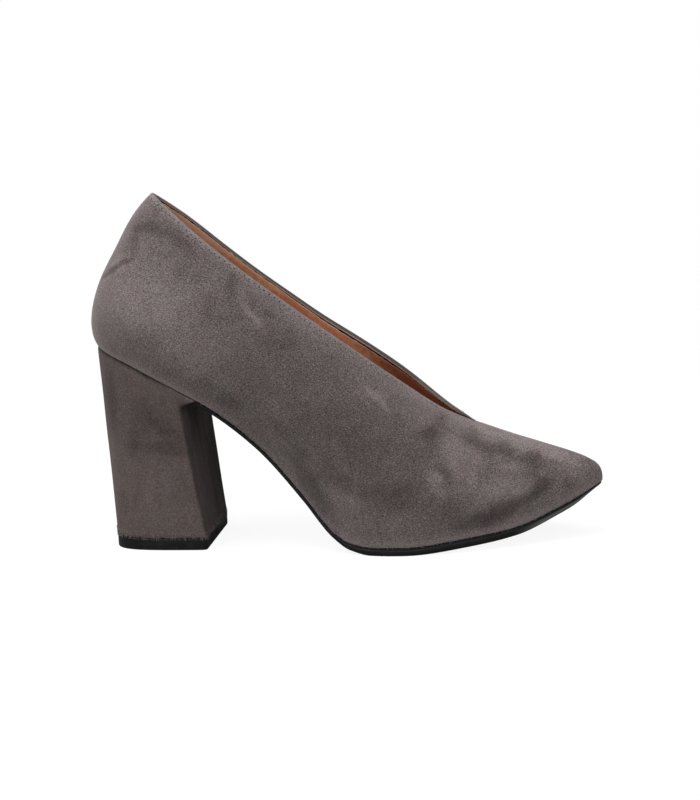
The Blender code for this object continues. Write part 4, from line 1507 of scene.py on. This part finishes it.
HIGH_LIP = ((0.0, 1.0), (0.2, 0.55), (0.55, 0.26), (1.1, 0.1), (1.9, 0.02), (3.0, 0.0))


def tip_side(t, side, height):
    """The heel tip's outline from its back, t = 0, to its breast corner, t = 1."""
    angle, power = t * math.pi / 2, 2 / HEEL_TIP_POWER
    depth = HEEL_TIP_FRONT - HEEL_TIP_BACK
    along = HEEL_TIP_FRONT + TIP_FORWARD - depth * np.maximum(np.cos(angle), 0) ** power
    across = HEEL_TIP_AXIS + side * HEEL_TIP_HALF_WIDTH * np.sin(angle) ** power
    return np.column_stack([along, across, np.full(len(t), height)])


def heel_side(t, side, level):
    """The heel's outline on one side, at a share of its height."""
    low = tip_side(t, side, TOP_PIECE_HEIGHT + GAP)
    rows = t * row_at(BREAST_ALONG - GAP)
    high = feather(rows if side == LATERAL else LOOP_ROWS - rows)
    high[:, 2] -= square_to_bottom(high[:, 0], GAP)
    sweep = max(0, (level - HEEL_COVE_FROM) / (1 - HEEL_COVE_FROM)) ** HEEL_COVE_SWEEP
    hollow = HEEL_COVE[side] * t**HEEL_COVE_ROUND * level * (1 - sweep)
    hollow += TIP_FORWARD * level * (1 - level)
    return low + level * (high - low) - hollow[:, None] * np.array([1, 0, 0])


def rounded_outline(side_at):
    """A closed outline from two sides and a straight breast between them, with rounded breast corners."""
    fine = np.linspace(0, 1, 300)
    ease = np.linspace(0, 1, SIDE_COLUMNS)
    ease = ease**BACK_CROWDING / (ease**BACK_CROWDING + (1 - ease) ** BREAST_CROWDING)
    sides, corners = {}, {}
    ends = {side: side_at(np.array([1.0]), side)[0] for side in (LATERAL, MEDIAL)}
    toward = (ends[MEDIAL] - ends[LATERAL]) / np.linalg.norm(ends[MEDIAL] - ends[LATERAL])
    f = np.linspace(0, 1, CORNER_COLUMNS + 2)[1:-1, None]
    for side in (LATERAL, MEDIAL):
        away = np.linalg.norm(side_at(fine, side) - ends[side], axis=1)
        last = np.interp(-CORNER_ROUND[side], -away, fine)
        sides[side] = side_at(last * ease, side)
        on_breast = ends[side] - side * CORNER_ROUND[side] * toward
        corners[side] = (1 - f) ** 2 * sides[side][-1] + 2 * f * (1 - f) * ends[side] + f**2 * on_breast
    start = ends[LATERAL] + CORNER_ROUND[LATERAL] * toward
    stop = ends[MEDIAL] - CORNER_ROUND[MEDIAL] * toward
    breast = start + BREAST_SHARES[:, None] * (stop - start)
    way_back = [corners[MEDIAL][::-1], sides[MEDIAL][:0:-1]]
    return np.vstack([sides[LATERAL], corners[LATERAL], breast, *way_back])


def pushed_in(outline, inset):
    """The outline moved square to itself along the floor."""
    ahead = np.roll(outline, -1, 0) - np.roll(outline, 1, 0)
    normal = np.column_stack([ahead[:, 1], -ahead[:, 0], np.zeros(len(outline))])
    length = np.maximum(np.linalg.norm(normal, axis=1, keepdims=True), 1e-9)
    return outline - np.reshape(inset, (-1, 1)) * normal / length


def capped(name, grid, finish, node, slot, **attributes):
    """A closed piece from outlines stacked upward, with a fan of faces over each end."""
    ends = [np.repeat(end.mean(1, keepdims=True), grid.shape[1], 1) for end in (grid[:1], grid[-1:])]
    points = np.concatenate([ends[0], grid, ends[1]])
    ids = numbered(points.shape)
    ids[0], ids[-1] = ids[0, 0], ids[-1, 0]
    return add_piece(name, points.reshape(-1, 3), quads(ids, closed=True), finish, node, slot, **attributes)


# %% [markdown]
# The heel is handled less than the upper, so its nap has fewer and softer strokes. Painted shade darkens
# the breast, which faces away from the light under the arch, and the strip just under the seat.

# %% Nap and painted shade of the heel
HEEL_STROKES = [
    Stroke(25, 58, 19, 13.0, -12, -0.16),
    Stroke(24, 61, 9, 4.5, 85, -0.24),
    Stroke(31, 57, 6, 3.4, -60, -0.22),
    Stroke(39, 52, 6, 4.0, -45, -0.26),
    Stroke(33, 46, 10, 2.8, -8, -0.28),
    Stroke(20, 48, 6, 3.0, 60, -0.18),
    Stroke(8, 72, 12, 4.0, 95, -0.32),
    Stroke(10, 57, 6, 3.5, 80, -0.20),
    Stroke(20, 24, 6, 1.6, 92, -0.16),
    Stroke(13, 21, 6, 2.4, 88, -0.14),
    Stroke(40, 33, 5, 2.2, 100, -0.16),
    Stroke(9, 40, 14, 2.4, 94, 0.10),
    Stroke(30, 22, 20, 14.0, 0, 0.10),
    Stroke(49.5, 56, 18, 3.0, -84, 0.60),
]
STROKE_SHIFT, SHIFT_FROM, SHIFT_OVER = 6, -14, 28
HEEL_PATCHES, HEEL_STREAKS, STREAK_DRAWN = 0.08, 0.08, 0.25
# Painted shade: the breast, which faces away from the light, and a strip just under the seat.
BREAST_DARK, BREAST_STREAKS = 0.42, 0.16
BREAST_FROM, BREAST_BY = 0.5, 0.97
SEAT_DARK, SEAT_REACH = 0.8, 1.0
SEAT_FADE, SEAT_FADE_FROM, SEAT_FADE_OVER = 1.0, 29.0, 12.0


def heel_nap(points):
    """Strokes and streaks, with painted shade in the breast and just under the seat."""
    turned = points.copy()
    turned[..., 0] += STROKE_SHIFT * smoothstep((points[..., 1] - SHIFT_FROM) / SHIFT_OVER)
    streaks = drift(points * np.array([1, 1, STREAK_DRAWN]), 4, 42)
    forward = smoothstep((normals_of(points)[..., 0] - BREAST_FROM) / (BREAST_BY - BREAST_FROM))
    under_seat = np.exp(-(((points[-1] - points)[..., 2] / SEAT_REACH) ** 2))
    painted = stroke_sum(turned, HEEL_STROKES) + HEEL_PATCHES * drift(points, 11, 41)
    painted += (HEEL_STREAKS + BREAST_STREAKS * forward) * streaks
    under_seat *= 1 - SEAT_FADE * smoothstep((points[..., 0] - SEAT_FADE_FROM) / SEAT_FADE_OVER)
    # Painted shade darkens the breast and the strip under the seat.
    return painted - BREAST_DARK * forward - SEAT_DARK * under_seat


def seam_groove(columns):
    """Depth of the butt seam at each column of an outline, with a low swell on each side."""
    away = (BREAST_SHARES - BREAST_SEAM) * 2 * HEEL_TIP_HALF_WIDTH
    depth = SEAM_GROOVE * np.exp(-((away / SEAM_GROOVE_WIDTH) ** 2))
    depth -= SEAM_SWELL * np.exp(-((away / SEAM_SWELL_WIDTH) ** 2))
    groove = np.zeros(columns)
    groove[FIRST_BREAST : FIRST_BREAST + len(BREAST_SHARES)] = depth
    return groove


def heel_grid():
    """The heel's outlines from foot to seat, lips included."""
    levels = [(rise / HEEL_SPAN, inset) for rise, inset in LOW_LIP]
    levels += [(level, 0.0) for level in np.linspace(*BETWEEN_LIPS, HEEL_ROWS)]
    levels += [(1 - rise / HEEL_SPAN, inset) for rise, inset in HIGH_LIP[::-1]]
    rows = []
    for level, inset in levels:
        outline = rounded_outline(lambda t, side: heel_side(t, side, level))
        rows.append(pushed_in(outline, inset + seam_groove(len(outline))))
    grid = np.array(rows)
    grid[1:-1] += normals_of(grid)[1:-1] * HEEL_WAVE * drift(grid[1:-1], 20, 43)[..., None]
    return grid


HEEL_GRID = heel_grid()
HEEL_NAP = heel_nap(HEEL_GRID)
HEEL_NAP = np.concatenate([HEEL_NAP[:1], HEEL_NAP, HEEL_NAP[-1:]])
capped("heel_cover", HEEL_GRID, HEEL_SUEDE, "heel_block", "grey_suede", nap=HEEL_NAP)

# %% [markdown]
# ## Top piece
# The wearing part under the heel is a slab of hard black rubber, called the top piece. It has the heel
# tip's outline, a small roll at its upper edge and a lower edge rounded by use.

# %% Top piece
TOP_PIECE_INSET = 0.05
Level = namedtuple("Level", "height inset")
TOP_PIECE_SIDE = [
    Level(0.0, 0.6),
    Level(0.05, 0.34),
    Level(0.2, 0.14),
    Level(0.5, 0.03),
    Level(1.0, 0.0),
    Level(2.6, -0.02),
    Level(4.0, 0.0),
    Level(4.7, 0.04),
    Level(5.05, 0.2),
    Level(TOP_PIECE_HEIGHT, 0.6),
]


def make_top_piece():
    rows = []
    for level in TOP_PIECE_SIDE:
        outline = rounded_outline(lambda t, side: tip_side(t, side, level.height))
        rows.append(pushed_in(outline, level.inset + TOP_PIECE_INSET))
    return capped("rubber_top_piece", np.array(rows), TIP_RUBBER, "top_piece", "black_rubber")


make_top_piece()

# %% [markdown]
# ## Loose fibres
# Where suede is cut, its fibres stick out. They fringe the foot of the heel cover and the edge above the
# sole, and blur the line between grey and black. A fibre is a thin three-sided spike that bends as it goes.
# A seeded generator places them, so every run grows the same fringe.

# %% Fringe
FRINGE_SEED = 7
FRINGE_END = 1.2
HEEL_FIBRES, SOLE_FIBRES = 1500, 1600
HEEL_ROOTS, SOLE_ROOTS = (2, 6), (0, 4)
HEEL_LENGTHS, SOLE_LENGTHS = (0.6, 2.0), (0.4, 1.1)
HEEL_OUTWARD, SOLE_OUTWARD = 0.12, 0.35
HEEL_TANGLE, SOLE_TANGLE = 0.18, 0.28
HEEL_HANG, SOLE_HANG = np.array([0, 0, -1.0]), np.array([0, 0, -0.7])
HEEL_FIBRE, SOLE_FIBRE = 0.09, 0.08
FIBRE_DROOP = 0.05
FIBRE_RINGS = ((0, 0), (0.02, 1), (0.5, 0.75), (1, 0))
SKEW = np.array([0.3, 0.5, 0.8])


def grow_fibres(name, roots, directions, lengths, radius):
    """Joined spikes from roots along directions, each drooping toward the floor."""
    directions = directions / np.linalg.norm(directions, axis=1, keepdims=True)
    side = np.cross(directions, SKEW)
    side /= np.linalg.norm(side, axis=1, keepdims=True)
    other = np.cross(directions, side)
    turn = np.linspace(0, 2 * math.pi, 3, endpoint=False)[None, :, None]
    ring = np.cos(turn) * side[:, None] + np.sin(turn) * other[:, None]
    rings = []
    for share, thickness in FIBRE_RINGS:
        place = roots + directions * (share * lengths)[:, None]
        place[:, 2] -= FIBRE_DROOP * lengths * share**2
        rings.append(place[:, None] + thickness * radius * ring)
    rings = np.stack(rings, 1)
    return add_piece(name, rings.reshape(-1, 3), stack_rings(rings), LOOSE_FIBRE, slot="grey_suede")


def heel_fringe(count):
    draw = np.random.default_rng(FRINGE_SEED)
    columns = HEEL_GRID.shape[1]
    facing = normals_of(HEEL_GRID)
    column = draw.integers(0, columns, count)
    share = draw.random(count)
    row = draw.integers(*HEEL_ROOTS, count)
    after = (column + 1) % columns
    roots = HEEL_GRID[row, column] * (1 - share)[:, None] + HEEL_GRID[row, after] * share[:, None]
    tangle = draw.normal(0, HEEL_TANGLE, (count, 3))
    directions = facing[row, column] * HEEL_OUTWARD + tangle + HEEL_HANG
    lengths = draw.uniform(*HEEL_LENGTHS, count)
    return grow_fibres("heel_fringe", roots, directions, lengths, HEEL_FIBRE)


def sole_fringe(count):
    draw = np.random.default_rng(FRINGE_SEED + 1)
    facing = normals_of(UPPER_SKIN)
    ahead = (ROWS_ROUND > row_at(BREAST_ALONG)) & (ROWS_ROUND < TOE_ROW - FRINGE_END)
    column = draw.choice(np.where(ahead)[0], count)
    row = draw.integers(*SOLE_ROOTS, count)
    share = draw.random(count)[:, None]
    after = (column + 1) % len(PLACES)
    roots = UPPER_SKIN[row, column] * (1 - share) + UPPER_SKIN[row, after] * share
    tangle = draw.normal(0, SOLE_TANGLE, (count, 3))
    directions = facing[row, column] * SOLE_OUTWARD + tangle + SOLE_HANG
    lengths = draw.uniform(*SOLE_LENGTHS, count)
    return grow_fibres("sole_fringe", roots, directions, lengths, SOLE_FIBRE)


heel_fringe(HEEL_FIBRES)
sole_fringe(SOLE_FIBRES)
